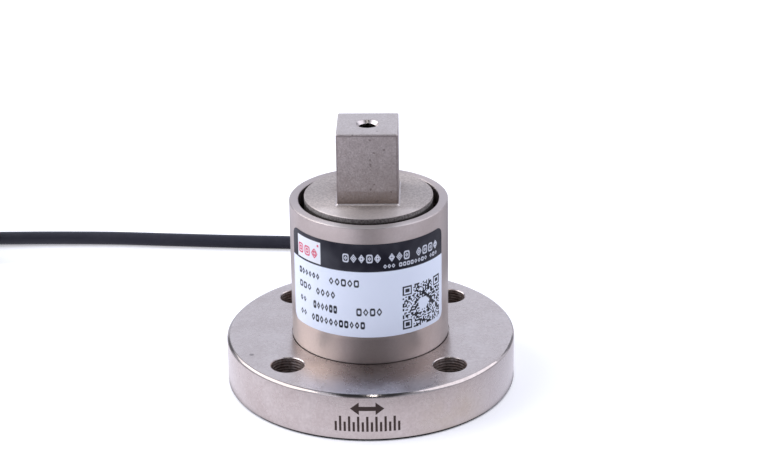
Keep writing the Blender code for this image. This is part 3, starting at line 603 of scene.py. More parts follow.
def torsion_body():
    """The union of the turned and milled forms, less the holes."""
    name = "torsion_body_fine"
    body = show(name, lay_surface(name, turned_base()), TURNED_STEEL, GROUND_STEEL)
    combine(body, paint_second(lay_surface("column", column_form())), "UNION")
    combine(body, lay_surface("disc", disc_form()), "UNION")
    combine(body, paint_second(lay_surface("drive", drive_form())), "UNION")
    for k in range(4):
        turn = math.pi / 4 + k * math.pi / 2
        axis = np.array([BOLT_CIRCLE_RADIUS * math.cos(turn), BOLT_CIRCLE_RADIUS * math.sin(turn), 0])
        combine(body, lay_surface("bolt_hole", bolt_hole_form() + axis), "DIFFERENCE")
    combine(body, paint_second(lay_surface("drive_hole", tapped_hole_form())), "DIFFERENCE")
    smooth(body.data, 24)
    return body


body = torsion_body()
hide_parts("torsion_body")
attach(body, "root")

# Ring board with its trimming resistors

# A ring of glass laminate with green solder mask, bonded on the spigot round the column. The gauges are
# wired to its tracks, and three ceramic chips balance the bridge.


def board_finish():
    """Green mask over round copper tracks, with a faint weave below it."""
    material, shader, bench = new_finish("board_laminate", (0.04, 0.20, 0.09), 0.4, Coat_Weight=0.4)
    x, y, _ = bench.xyz()
    track = bench.above(bench.math("SINE", bench.times(bench.radius(x, y), 4.2)), 0.55)
    weave = bench.noise(bench.place(), 2.5, 1.0)
    colour = bench.mix(track, (0.03, 0.16, 0.07), (0.07, 0.30, 0.12))
    colour = bench.mix(bench.times(weave, 0.3), colour, (0.02, 0.10, 0.05))
    bench.wire(shader, Base_Color=colour, Roughness=bench.span(weave, 0, 1, 0.3, 0.5))
    bench.bump(shader, bench.plus(track, weave), 0.02)
    return material


def grained_finish(name, dark, light, rough, scale, depth, detail=3.0, metallic=0.0, **sockets):
    """An even stuff with a fine grain: noise carries its colour from dark to light and its roughness from the
    first to the second of rough, and stands out by that depth."""
    middle = [(a + b) / 2 for a, b in zip(dark, light)]
    material, shader, bench = new_finish(name, middle, sum(rough) / 2, metallic, **sockets)
    grain = bench.noise(bench.place(), scale, detail)
    bench.wire(shader, Base_Color=bench.mix(grain, dark, light), Roughness=bench.span(grain, 0, 1, *rough))
    bench.bump(shader, grain, depth)
    return material


def dress(material, *nodes):
    """Gives CAD nodes a finish."""
    for node in nodes:
        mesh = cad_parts[node].data
        mesh.materials.clear()
        mesh.materials.append(material)


# Dark glazed ceramic.
CHIP_CERAMIC = grained_finish("chip_ceramic", (0.02, 0.02, 0.022), (0.06, 0.06, 0.065), (0.3, 0.5), 6.0, 0.01)
dress(board_finish(), "terminal_board")
dress(CHIP_CERAMIC, *(f"trim_resistor_{k}" for k in (1, 2, 3)))

# Strain gauges and bridge wires

# A foil gauge on amber film is bonded to each flat of the column, and two fine tinned wires lead from each
# down to the board. Together they are the bridge that senses the column's twist.


def gauge_finish():
    """Amber film with the fine upright loops of an etched foil grid."""
    material, shader, bench = new_finish("gauge_foil", (0.62, 0.36, 0.14), 0.35, Coat_Weight=0.5)
    x, y, _ = bench.xyz()
    foil = bench.above(bench.math("SINE", bench.times(bench.plus(x, y), 14.0)), 0.0)
    cloud = bench.noise(bench.place(), 0.9)
    colour = bench.mix(foil, (0.55, 0.27, 0.06), (0.62, 0.50, 0.38))
    colour = bench.mix(bench.times(cloud, 0.3), colour, (0.35, 0.16, 0.04))
    bench.wire(shader, Base_Color=colour, Roughness=bench.span(cloud, 0, 1, 0.25, 0.45))
    bench.bump(shader, foil, 0.01)
    return material


# Tinned copper: pale and satin, with faint drawing marks.
TINNED_COPPER = grained_finish(
    "tinned_copper", (0.60, 0.53, 0.46), (0.72, 0.68, 0.63), (0.28, 0.45), 5.0, 0.01, metallic=1.0
)
dress(gauge_finish(), *(f"strain_gauge_{side}" for side in ("right", "back", "left", "front")))
dress(TINNED_COPPER, *(f"bridge_wire_{k}" for k in range(1, 9)))

# Housing sleeve

# A turned stainless tube, pressed over the spigot and bonded into its shallow seat. A spot face at the back
# takes the cable's gland.

SLEEVE_RADIUS = 15.7
SLEEVE_BORE = 14.15
SLEEVE_LIP = 13.9
SLEEVE_FOOT = 10.0
SLEEVE_RIM = 39.0
SLEEVE_CHAMFER = 0.18
GLAND_Z = 19.04
GLAND_HOLE_RADIUS = 2.65
SPOT_Y = 14.91
SPOT_RADIUS = 4.92


def sleeve_steel_finish():
    """Fine turned stainless steel, a little smoother than the flange, with rings across its side. Its rim is
    rougher, and painted palest in front as a painted reflection."""
    material, shader, bench = new_finish(
        "sleeve_steel", (0.56, 0.49, 0.465), 0.3, 1.0, Anisotropic=0.65, Anisotropic_Rotation=0.25
    )
    haze = bench.use(handling_haze, Cloud_Size=8.0, Fleck_Size=0.5)
    rings = bench.use(turning_marks, Pitch=0.12)["Rings"]
    x, y, z = bench.xyz()
    steel = bench.mix(haze["Clouds"], (0.505, 0.435, 0.405), (0.60, 0.53, 0.505))
    steel = bench.mix(bench.times(haze["Flecks"], 0.35), steel, (0.42, 0.36, 0.335))
    # Below the label the tube is duller, painted darker and browner in front as painted shade, and painted a
    # little warmer and lighter at the
    #     left as a painted reflection.
    low = bench.span(z, 15.0, 16.5, 1.0, 0.0)
    shade = bench.span(bench.size(bench.plus(x, 0.5)), 4.0, 12.0, 0.45, 0.0)
    steel = bench.mix(bench.times(shade, low, bench.below(y, 0.0)), steel, (0.24, 0.19, 0.18))
    steel = bench.mix(bench.times(bench.span(x, -4.5, -9.5, 0.0, 0.16), low), steel, (0.84, 0.70, 0.55))
    # The rim's flat end, painted paler in front as a painted reflection, and the chamfer beside it, painted
    # darker at the left as painted shade that dims its highlight.
    rim = bench.above(z, SLEEVE_RIM - 0.15)
    pale = bench.mix(bench.span(y, -11.0, -15.0), (0.50, 0.435, 0.41), (0.78, 0.72, 0.69))
    steel = bench.mix(bench.times(rim, 0.75), steel, pale)
    chamfer = bench.between(z, SLEEVE_RIM - 0.3, SLEEVE_RIM - 0.03)
    steel = bench.mix(bench.times(chamfer, bench.span(x, -1.0, -5.0, 0.0, 0.4)), steel, (0.26, 0.225, 0.21))
    rough = bench.span(haze["Clouds"], 0, 1, 0.28, 0.34)
    rough = bench.plus(rough, bench.times(rim, 0.2), bench.times(low, 0.18))
    bench.wire(shader, Base_Color=steel, Roughness=rough)
    bench.bump(shader, bench.plus(rings, bench.times(haze["Flecks"], 0.3)), 0.005)
    return material


def turn_to_back(grid):
    """Carries a grid turned about Z so that it is turned about the gland's axis: its height runs out along
    +Y."""
    return np.stack([-grid[..., 0], grid[..., 2], grid[..., 1] + GLAND_Z], axis=-1)


def housing_sleeve():
    """The tube's wall as a closed turned profile, with the gland's hole and spot face cut at the back."""
    wall = round_off(
        [
            (SLEEVE_BORE, 25, 0), (SLEEVE_BORE, SLEEVE_FOOT, 0.15), (SLEEVE_RADIUS, SLEEVE_FOOT, 0.12),
            (SLEEVE_RADIUS, SLEEVE_RIM - SLEEVE_CHAMFER, 0.08),
            (SLEEVE_RADIUS - SLEEVE_CHAMFER, SLEEVE_RIM, 0.08),
            (SLEEVE_LIP, SLEEVE_RIM, 0.22), (SLEEVE_LIP, 36.5, 0.05), (SLEEVE_BORE, 36.2, 0.05),
            (SLEEVE_BORE, 25.1, 0),
        ]
    )
    tube = lay_surface("sleeve", turn_round(wall, 384), rows_meet=True)
    sleeve = show("housing_sleeve_fine", tube, SLEEVE_STEEL)
    hole = turn_round([(0, 5), (GLAND_HOLE_RADIUS, 5), (GLAND_HOLE_RADIUS, 20), (0, 20)], 96)
    combine(sleeve, lay_surface("hole", turn_to_back(hole)), "DIFFERENCE")
    spot = turn_round([(0, SPOT_Y), (SPOT_RADIUS, SPOT_Y), (SPOT_RADIUS, 20), (0, 20)], 128)
    combine(sleeve, lay_surface("spot", turn_to_back(spot)), "DIFFERENCE")
    smooth(sleeve.data, 24)
    return sleeve


SLEEVE_STEEL = sleeve_steel_finish()
sleeve = housing_sleeve()
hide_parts("housing_sleeve")
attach(sleeve, "root")

# Cable gland

# Nickel-plated brass, screwed through the sleeve from the back and held by a thin nut inside. The domed
# hexagon cap squeezes a rubber ring onto the cable, and a crimped ring inside keeps the cable from being
# pulled out.

GLAND_FLATS = 8.0
GLAND_CORNER = 4.62


def nickel_finish():
    """Nickel plate: slightly warm, satin bright, with small handling marks."""
    material, shader, bench = new_finish("nickel_plate", (0.66, 0.62, 0.56), 0.22, 1.0)
    haze = bench.use(handling_haze, Cloud_Size=3.0, Fleck_Size=0.3)
    plate = bench.mix(haze["Clouds"], (0.62, 0.575, 0.50), (0.72, 0.68, 0.62))
    bench.wire(shader, Base_Color=plate, Roughness=bench.span(haze["Flecks"], 0, 1, 0.16, 0.32))
    bench.bump(shader, haze["Flecks"], 0.004)
    return material


def hexagon_round(profile, steps=192):
    """A turned grid trimmed to a hexagon: each ring's radius is the smaller of the profile's own and the
    hexagon's, which is (flats / 2) / cos(the angle to the middle of the nearest flat)."""
    angle = np.linspace(0, 2 * np.pi, steps, endpoint=False)
    from_flat = (angle + np.pi / 6) % (np.pi / 3) - np.pi / 6
    radius, height = np.asarray(profile, float).T[:, :, None]
    return around(np.minimum(radius, GLAND_FLATS / 2 / np.cos(from_flat)), angle, height)


def gland_body():
    """Stub, chamfered hexagon and threaded neck, as one closed profile round the cable."""
    thread = np.linspace(17.95, 20.4, 60)
    crest = 3.0 - 0.14 * np.abs(2 * ((thread / 0.5) % 1.0) - 1)
    outside = [(1.8, 11.0), (2.4, 10.95), (2.4, 15.2), (4.3, 15.22), (GLAND_CORNER, 15.5)]
    outside += [(GLAND_CORNER, 17.5), (4.3, 17.78), (3.0, 17.81), *zip(crest, thread)]
    outside += [(2.9, 20.6), (2.55, 20.61), (2.55, 18.7), (1.8, 18.4), (1.8, 14.5)]
    grid = turn_to_back(hexagon_round(outside))
    return show("gland_body_fine", lay_surface("gland_body", grid, rows_meet=True), NICKEL)


def gland_cap():
    """The cap: six flats with a turned dome at the cable's end, hollow over the neck."""
    turn = np.linspace(0, np.pi / 2, 14)[1:]
    dome = [(4.28, 18.12), (GLAND_CORNER, 18.4), (GLAND_CORNER, 20.6)]
    dome += zip(GLAND_CORNER - 2.2 * (1 - np.cos(turn)), 20.6 + 1.7 * np.sin(turn))
    dome += [(1.95, 22.3), (1.8, 22.15), (1.8, 20.95), (3.3, 20.9), (3.3, 18.3), (3.45, 18.12)]
    grid = turn_to_back(hexagon_round(dome))
    return show("gland_cap_fine", lay_surface("gland_cap", grid, rows_meet=True), NICKEL)


NICKEL = nickel_finish()
# Matte black rubber.
BLACK_RUBBER = grained_finish(
    "black_rubber", (0.012, 0.012, 0.013), (0.032, 0.032, 0.034), (0.55, 0.75), 3.5, 0.02
)
for piece, node in ((gland_body(), "gland_body"), (gland_cap(), "gland_cap")):
    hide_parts(node)
    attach(piece, "root")
dress(NICKEL, "gland_locknut")
dress(BLACK_RUBBER, "gland_seal")
dress(TINNED_COPPER, "cable_ferrule")

# Cable

# A round 3 mm lead with a matte black sheath, about 2 m long. It leaves the gland at the back, drops to the
# table, runs off to the left, and its spare length is wound into a small coil outside the view.

CABLE_RADIUS = 1.5
# The cable's route and exit are in metres.
CABLE_ROUTE = (
    (0.0000, 0.00876, 0.01904), (0.0000, 0.0149, 0.01904), (0.0000, 0.0223, 0.01904), (0.0000, 0.0253, 0.01904),
    (0.0000, 0.0275, 0.0190), (0.0004, 0.0320, 0.0183), (0.0010, 0.0365, 0.0165), (0.0014, 0.0410, 0.0139),
    (0.0011, 0.0455, 0.0109), (0.0000, 0.0500, 0.0079), (-0.0020, 0.0540, 0.0052), (-0.0049, 0.0576, 0.0031),
    (-0.0086, 0.0604, 0.0019), (-0.0128, 0.0622, 0.0015), (-0.0172, 0.0631, 0.0015), (-0.0216, 0.0635, 0.0015),
    (-0.0340, 0.0642, 0.0015), (-0.0474, 0.0652, 0.0015), (-0.0607, 0.0662, 0.0015), (-0.0740, 0.0665, 0.0015),
    (-0.0872, 0.0664, 0.0015), (-0.0940, 0.06625, 0.0015), (-0.0998, 0.0662, 0.0015),
)
COIL_CENTRE = (-112.0, 43.7)
COIL_RADIUS = 18.0
COIL_TURNS = 16
LAYER_TURNS = 4
TURN_PITCH = 3.0
TURN_STEPS = 72
TIE_ANGLE = math.radians(-60)


def smooth_path(points, step=1.0):
    """A smooth line through points, resampled evenly: between two points runs the cubic whose slope at
    each is half the way from the point before it to the point after it."""
    points = np.asarray(points, float)
    ends = np.vstack([2 * points[0] - points[1], points, 2 * points[-1] - points[-2]])
    t = np.linspace(0, 1, 16, endpoint=False)[:, None]
    spans = [
        b + (c - a) * t / 2 + (2 * a - 5 * b + 4 * c - d) * t**2 / 2 + (3 * b - a - 3 * c + d) * t**3 / 2
        for a, b, c, d in zip(ends, ends[1:], ends[2:], ends[3:])
    ]
    line = np.vstack([*spans, points[-1:]])
    run = run_length(line)
    even = np.linspace(0, run[-1], max(3, round(run[-1] / step) + 1))
    return np.column_stack([np.interp(even, run, line[:, k]) for k in range(3)])


def run_length(line):
    """How far along a line each of its points lies."""
    return np.concatenate([[0], np.cumsum(np.linalg.norm(np.diff(line, axis=0), axis=1))])


def run_along(path, radius, sides=20):
    """The grid of a round tube: at each point of the path, a ring at right angles to it. side = direction
    x up, lift = side x direction, ring = (side cos a + lift sin a) * radius. Both ends close in a point."""
    along = np.gradient(path, axis=0)
    along /= np.linalg.norm(along, axis=1)[:, None]
    side = np.cross(along, (0, 0, 1))
    side /= np.linalg.norm(side, axis=1)[:, None]
    lift = np.cross(side, along)
    angle = np.linspace(0, 2 * np.pi, sides, endpoint=False)[None, :, None]
    ring = side[:, None] * np.cos(angle) + lift[:, None] * np.sin(angle)
    rings = path[:, None] + ring * np.broadcast_to(radius, len(path))[:, None, None]
    ends = [np.repeat(path[k][None, None], sides, axis=1) for k in (0, -1)]
    return np.concatenate([ends[0], rings, ends[1]])


def ease(value, start, end):
    """Rises from 0 at start to 1 at end without a kink: 3 t^2 - 2 t^3."""
    t = np.clip((value - start) / (end - start), 0, 1)
    return t * t * (3 - 2 * t)


def on_coil(angle, radius, height):
    """Points round the coil's axis."""
    x, y = COIL_CENTRE
    return np.column_stack([x + radius * np.cos(angle), y + radius * np.sin(angle), height])


def coil_path():
    """The wound turns: four turns inwards, four outwards one layer up, and so on. In the last 0.4 of each
    turn its radius eases to the next turn's, or, where a layer is full, its height eases to the next
    layer's while the radius bows clear of the neighbours. The last turn climbs onto the coil to the end
    sleeve. Under the tie's strap the turns lie a little higher."""
    turn = np.arange(1, round((COIL_TURNS + 0.1) * TURN_STEPS)) / TURN_STEPS
    whole = np.minimum(np.floor(turn), COIL_TURNS - 1)
    part = turn - whole
    layer, place = whole // LAYER_TURNS, whole % LAYER_TURNS
    inwards = np.where(layer % 2 == 0, 1, -1)
    last = whole == COIL_TURNS - 1
    full = (place == LAYER_TURNS - 1) & ~last
    share = np.clip((part - 0.6) / 0.4, 0, 1)
    move = TURN_PITCH * ease(share, 0, 1)
    bow = np.sin(np.pi * share) ** 2
    outermost = TURN_PITCH * (LAYER_TURNS - 1) / 2
    drift = np.where(full, 1.3 * bow, np.where(last, 0, move))
    radius = COIL_RADIUS + inwards * (outermost - TURN_PITCH * place - drift)
    radius += np.where(last, 0.5 * bow - 4.5 * ease(part, 0.78, 1.02), 0) + 0.12 * np.sin(4.6 * np.pi * turn)
    height = CABLE_RADIUS + TURN_PITCH * layer + np.where(full, move, 0)
    height += np.where(last, 3 * ease(part, 0.6, 0.84) + 0.7 * ease(part, 0.85, 1.02), 0)
    angle = np.pi / 2 + 2 * np.pi * turn
    off_tie = (angle - TIE_ANGLE + np.pi) % (2 * np.pi) - np.pi
    height += (0.5 - 0.014 * height) * np.exp(-((off_tie / 0.2) ** 2))
    return on_coil(angle, radius, height)


def sheath_finish():
    """Matte black sheath, slightly blue, with a fine drawn grain and scuffs."""
    material, shader, bench = new_finish("cable_sheath", (0.020, 0.019, 0.028), 0.5, Specular_IOR_Level=0.35)
    grain = bench.noise(bench.place(), 2.5, 3.0)
    scuff = bench.span(bench.noise(bench.place(), 0.26, 4.0, 0.65), 0.5, 0.75)
    colour = bench.mix(grain, (0.016, 0.0155, 0.025), (0.026, 0.025, 0.038))
    colour = bench.mix(bench.times(scuff, 0.3), colour, (0.045, 0.044, 0.055))
    bench.wire(shader, Base_Color=colour, Roughness=bench.span(scuff, 0, 1, 0.45, 0.6))
    bench.bump(shader, bench.plus(grain, scuff), 0.01)
    return material


def cable_line():
    """The cable's middle line: the route, a straight run up to the coil's outermost turn, and the coil."""
    x, y = COIL_CENTRE
    touch = y + COIL_RADIUS + TURN_PITCH * (LAYER_TURNS - 1) / 2
    straight = [(x + 6, touch, CABLE_RADIUS), (x, touch, CABLE_RADIUS)]
    return np.vstack([smooth_path(np.vstack([np.array(CABLE_ROUTE) / MM, straight]), 1.2), coil_path()])


CABLE_SHEATH = sheath_finish()
cable_path = cable_line()
cable = show("cable_run", lay_surface("cable", run_along(cable_path, CABLE_RADIUS)), CABLE_SHEATH)
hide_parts("cable", "cable_coil")
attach(cable, "root")
# The photograph shows no mirror image of the cable in the sleeve.
cable.visible_glossy = False

# Cable cores

# Four thin coloured cores come out of the sheath inside the housing, spread and go down to the ring board,
# where they are soldered.


def core_finish(name, colour):
    """Smooth coloured insulation with a faint waxy unevenness."""
    dark = [0.75 * c for c in colour]
    light = [min(1.0, 1.15 * c + 0.01) for c in colour]
    return grained_finish(name, dark, light, (0.38, 0.52), 1.8, 0.01, detail=2.0, Coat_Weight=0.15)


CORE_FINISH = {
    "red": core_finish("core_red", (0.55, 0.03, 0.03)),
    "black": core_finish("core_black", (0.02, 0.02, 0.02)),
    "green": core_finish("core_green", (0.03, 0.30, 0.08)),
    "white": core_finish("core_white", (0.80, 0.80, 0.78)),
}
for tint, finish in CORE_FINISH.items():
    dress(finish, f"core_{tint}")

# Coil tie

# A natural nylon tie round the coil's turns: a ribbed strap that passes under and over them, its square
# head on the outside with the strap's end cut short in it.

TIE_HALF_WIDTH = 1.2
TIE_REACH = 6.25
TIE_LOW = 0.36
TIE_HIGH = 12.65
TIE_STEPS = 220
TIE_HEAD_OUT = 26.15
# Natural nylon: milky, slightly see-through at its edges, with a soft gloss.
NYLON = grained_finish(
    "natural_nylon", (0.66, 0.65, 0.59), (0.78, 0.77, 0.73), (0.32, 0.5), 1.5, 0.02, detail=2.0,
    Subsurface_Weight=0.15, Subsurface_Scale=0.001,
)


def on_tie(out, across, up):
    """Points in the tie's own frame: out from the coil's axis at the tie, across its strap, and up."""
    c, s = math.cos(TIE_ANGLE), math.sin(TIE_ANGLE)
    x, y = COIL_CENTRE
    return np.stack([x + c * out - s * across, y + s * out + c * across, up], axis=-1)


def tie_strap():
    """A loop of points along a rounded rectangle, each with a flat section across it whose outer face is
    ribbed."""
    far, near, w = COIL_RADIUS + TIE_REACH, COIL_RADIUS - TIE_REACH, TIE_HALF_WIDTH
    corners = [(far, TIE_LOW, 1.6), (far, TIE_HIGH, 1.6), (near, TIE_HIGH, 1.6), (near, TIE_LOW, 1.6)]
    loop = round_off([(COIL_RADIUS, TIE_LOW, 0), *corners, (COIL_RADIUS - 0.01, TIE_LOW, 0)], steps=10)
    run = run_length(loop)
    even = np.linspace(0, run[-1], TIE_STEPS, endpoint=False)
    out, up = (np.interp(even, run, loop[:, k]) for k in (0, 1))
    normal = np.stack([np.gradient(up), -np.gradient(out)], axis=1)
    normal /= np.linalg.norm(normal, axis=1)[:, None]
    rib = 0.05 * (1 + np.sign(np.sin(np.pi * np.arange(TIE_STEPS) / 2)))
    section = np.array([(-w, -0.25), (w, -0.25), (w, 0.2), (w - 0.4, 0.25), (0.4 - w, 0.25), (-w, 0.2)])
    lift = section[None, :, 1] + rib[:, None] * (section[:, 1] > 0.22)
    across = np.broadcast_to(section[:, 0], lift.shape)
    return on_tie(out[:, None] + lift * normal[:, :1], across, up[:, None] + lift * normal[:, 1:])


def tie_head():
    """The head: a stack of square rings, |x / a|^p + |y / b|^p = 1 with a high power p, drawn in at both
    ends."""
    angle = np.linspace(0, 2 * np.pi, 48, endpoint=False)
    swell = np.array([0, 0.55, 0.86, 0.97, 1, 1, 0.97, 0.86, 0.55, 0])[:, None]
    rise = np.array([4.65, 4.65, 4.75, 4.95, 5.25, 7.65, 7.95, 8.15, 8.25, 8.25])[:, None]
    out, across = (np.sign(f(angle)) * np.abs(f(angle)) ** 0.3 for f in (np.cos, np.sin))
    return on_tie(TIE_HEAD_OUT + 1.75 * swell * out, 1.8 * swell * across, rise + 0 * angle)


def coil_tie():
    """The union of strap and head."""
    tie = show("coil_tie_fine", lay_surface("coil_tie", tie_strap(), rows_meet=True), NYLON, sharp=40)
    combine(tie, lay_surface("tie_head", tie_head()), "UNION")
    smooth(tie.data, 40)
    return tie


tie = coil_tie()
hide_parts("coil_tie")
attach(tie, "root")

# End sleeve and bare leads

# The cable's far end: a shrunk black sleeve, and out of it four coloured leads and the shield's bare
# pigtail, which lie fanned on top of the coil. Each lead's tip is stripped and tinned.

END_Z = 14.2
END_ANGLE = 138.5
LEAD_RADIUS = 0.45
LEAD_FAN = 80.0
LEAD_PITCH = 1.8
LEAD_REST_Z = 12.78
LEAD_TIP = 4.0
TIP_RADIUS = 0.27


def end_sleeve_form():
    """A tube along the cable's end whose radius shrinks at both ends and is a little uneven."""
    angle = np.radians(np.linspace(99.0, END_ANGLE - 0.5, 40))
    swell = CABLE_RADIUS + 0.4 + 0.03 * np.sin(np.arange(40) * 0.9)
    swell[:3] -= (0.25, 0.1, 0.02)
    swell[-4:] -= (0.02, 0.1, 0.3, 0.6)
    return run_along(on_coil(angle, COIL_RADIUS, END_Z + 0 * angle), swell, 28)


end_sleeve = show("end_sleeve_fine", lay_surface("end_sleeve", end_sleeve_form()), BLACK_RUBBER)
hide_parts("end_sleeve")
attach(end_sleeve, "root")


def lead_path(number, side, lift):
    """A lead's line: it starts beside the others in the sheath's end, side and lift from its middle, and
    runs down to its own place in the fan on top of the coil."""
    away = (number - 2) * LEAD_PITCH
    spread = 2.5 * LEAD_RADIUS
    points = [
        (-0.05, side * spread * 0.8, END_Z + lift * spread * 0.8),
        (0.0, side * spread, END_Z + lift * spread),
        (0.25, away * 0.5, max(LEAD_REST_Z, END_Z + lift * spread * 0.8)), (0.5, away, LEAD_REST_Z),
        (0.75, away, LEAD_REST_Z), (1.0, away, LEAD_REST_Z),
    ]
    share, out, height = np.array(points).T
    return smooth_path(on_coil(np.radians(END_ANGLE + LEAD_FAN * share), COIL_RADIUS + out, height), 0.5)


def bare_lead(tint, path, *materials):
    """The lead's tube. Its faces nearest to the path's stripped end are thinner and tinned, and the shield's
    pigtail is twisted and tinned all along."""
    run = run_length(path)
    left = run[-1] - run
    thick = np.where(left > LEAD_TIP, LEAD_RADIUS, TIP_RADIUS)
    if tint == "shield":
        thick = LEAD_RADIUS * (0.92 + 0.05 * np.sin(np.arange(len(path)) * 1.3))
    mesh = lay_surface("lead", run_along(path, thick, 16))
    piece = show(f"lead_{tint}_fine", mesh, *materials)
    centres = np.empty(3 * len(mesh.polygons), np.float32)
    mesh.polygons.foreach_get("center", centres)
    nearest = np.linalg.norm(centres.reshape(-1, 1, 3) / MM - path, axis=2).argmin(axis=1)
    tinned = (left[nearest] < LEAD_TIP).astype(np.int32) * (len(materials) - 1)
    mesh.polygons.foreach_set("material_index", tinned)
    return piece


LEAD_PLACES = (("red", -1, 0), ("black", 0, -1), ("shield", 0, 0), ("green", 0, 1), ("white", 1, 0))
for number, (tint, side, lift) in enumerate(LEAD_PLACES):
    materials = [TINNED_COPPER] if tint == "shield" else [CORE_FINISH[tint], TINNED_COPPER]
    piece = bare_lead(tint, lead_path(number, side, lift), *materials)
    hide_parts(f"lead_{tint}")
    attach(piece, "root")

# Name label

# A printed polyester film wrapped round the front of the sleeve. It has a dark head with a pale square,
# lines of small print below it, and a field of small dark squares at the right.

LABEL_RADIUS = 15.78
LABEL_LOW = 15.85
LABEL_HIGH = 35.6
LABEL_MIDDLE = math.radians(-1.2)
LABEL_HALF = 18.3
LABEL_CORNER = 1.7


def label_ink(across, height):
    """The print as a colour at each point of the film, from its place in millimetres: across from the film's
    middle, and the height. Each shape has a soft edge and is mixed over what lies below it."""
    ink = np.ones((*across.shape, 3)) * (0.85, 0.89, 1.0)
    navy, black, red = (0.012, 0.011, 0.019), (0.010, 0.010, 0.016), (0.70, 0.10, 0.17)
    pale, grey = (0.72, 0.73, 0.80), (0.84, 0.84, 0.88)
    chance = np.random.default_rng(7)

    def lay(depth, soft, colour):
        """Mixes a colour in, by how deep inside a shape's edge each point lies."""
        share = np.clip(depth / soft + 0.5, 0, 1)[..., None]
        ink[:] = ink * (1 - share) + share * np.array(colour)

    def at(degrees):
        """From an angle round the sleeve to millimetres across the film."""
        return (math.radians(degrees) - LABEL_MIDDLE) * SLEEVE_RADIUS

    def bar(start, end, low, high, colour):
        """A filled rectangle between two angles and two heights."""
        in_width = np.minimum(across - at(start), at(end) - across)
        lay(np.minimum(in_width, np.minimum(height - low, high - height)), 0.05, colour)

    def figure(x, low, width, tall, power, stroke, colour):
        """The outline |x / a|^p + |y / b|^p = 1: a diamond at p = 1, a cushion above."""
        a, b = width / 2, tall / 2
        far = (np.abs((across - x - a) / a) ** power + np.abs((height - low - b) / b) ** power) ** (1 / power)
        lay(stroke / 2 - np.abs((far - 1) * min(a, b) + stroke / 2), 0.06, colour)

    def figures(start, end, low, high, colour, words, stroke=0.27, filled=False):
        """A line of small outlined figures in groups. A filled one has a second figure inside the first."""
        pitch = (at(end) - at(start)) / (sum(words) + 0.8 * (len(words) - 1))
        width, tall = pitch * 0.8, high - low
        x = at(start)
        for word in words:
            for _ in range(word):
                figure(x, low, width, tall, chance.choice([1.0, 1.2, 4.0]), stroke, colour)
                if filled:
                    inner = chance.choice([1.0, 4.0])
                    figure(x + width / 4, low + tall / 4, width / 2, tall / 2, inner, stroke, colour)
                x += pitch
            x += 0.8 * pitch

    bar(-75.0, 75.0, 29.8, LABEL_HIGH + 1, navy)
    bar(-60.0, -35.2, 30.2, 34.8, grey)
    figures(-59.0, -36.5, 31.1, 33.2, red, [3], 0.26, True)
    bar(-38.5, -36.8, 33.7, 34.2, red)
    figures(-17.5, 59.6, 31.75, 33.55, pale, [5, 3, 4], 0.2, True)
    figures(11.5, 58.8, 30.45, 31.3, pale, [3, 8, 3], 0.18)
    figures(-58.5, -36.0, 26.7, 28.1, black, [6])
    figures(-28.5, -4.9, 26.5, 28.1, black, [5])
    figures(-58.4, -44.0, 23.8, 25.2, black, [3])
    figures(-40.0, -22.9, 23.5, 25.1, black, [4])
    figures(-58.0, -50.0, 20.8, 22.1, black, [2])
    figures(-43.0, -21.8, 20.4, 22.1, black, [6])
    figures(-8.2, 11.1, 20.4, 22.1, black, [4])
    figures(-57.8, -50.0, 17.9, 19.2, black, [2])
    figures(-45.0, -1.4, 17.6, 19.2, black, [11])

    # The field of squares: each dark or not by the draw of a seeded die, with three plain corner squares
    # and a bare disc in the middle.
    cells, corner = 33, 7
    dark = chance.random((cells, cells)) < 0.53
    for row, column in ((0, 0), (cells - corner, 0), (cells - corner, cells - corner)):
        dark[max(0, row - 1) : row + 8, max(0, column - 1) : column + 8] = False
        dark[row : row + 7, column : column + 7] = True
        dark[row + 1 : row + 6, column + 1 : column + 6] = False
        dark[row + 2 : row + 5, column + 2 : column + 5] = True
    rows, columns = np.indices(dark.shape)
    dark &= np.hypot(rows - cells // 2, columns - cells // 2) > 4.7
    left, right, low, high = at(25.5), at(61.0), 16.8, 26.0
    column = np.floor((across - left) / (right - left) * cells).astype(int)
    row = np.floor((height - low) / (high - low) * cells).astype(int)
    held = (column >= 0) & (column < cells) & (row >= 0) & (row < cells)
    ink[held & dark[np.clip(row, 0, cells - 1), np.clip(column, 0, cells - 1)]] = black
    return ink


def label_film_finish():
    """Printed satin film: the ink from the mesh's own colours, faintly clouded, with a slight ripple."""
    material, shader, bench = new_finish("label_film", (0.86, 0.88, 0.93), 0.42, Specular_IOR_Level=0.14)
    ink = bench.add("Attribute", attribute_name="ink").outputs["Color"]
    cloud = bench.noise(bench.place(), 0.16, 2.0)
    fine = bench.noise(bench.place(), 5.0, 2.0)
    colour = bench.mix(bench.times(bench.span(cloud, 0.35, 0.65), 0.05), ink, (0.9, 0.9, 0.95))
    bench.wire(shader, Base_Color=colour, Roughness=bench.span(fine, 0, 1, 0.33, 0.42))
    bench.bump(shader, bench.plus(fine, bench.times(cloud, 3.0)), 0.003)
    return material


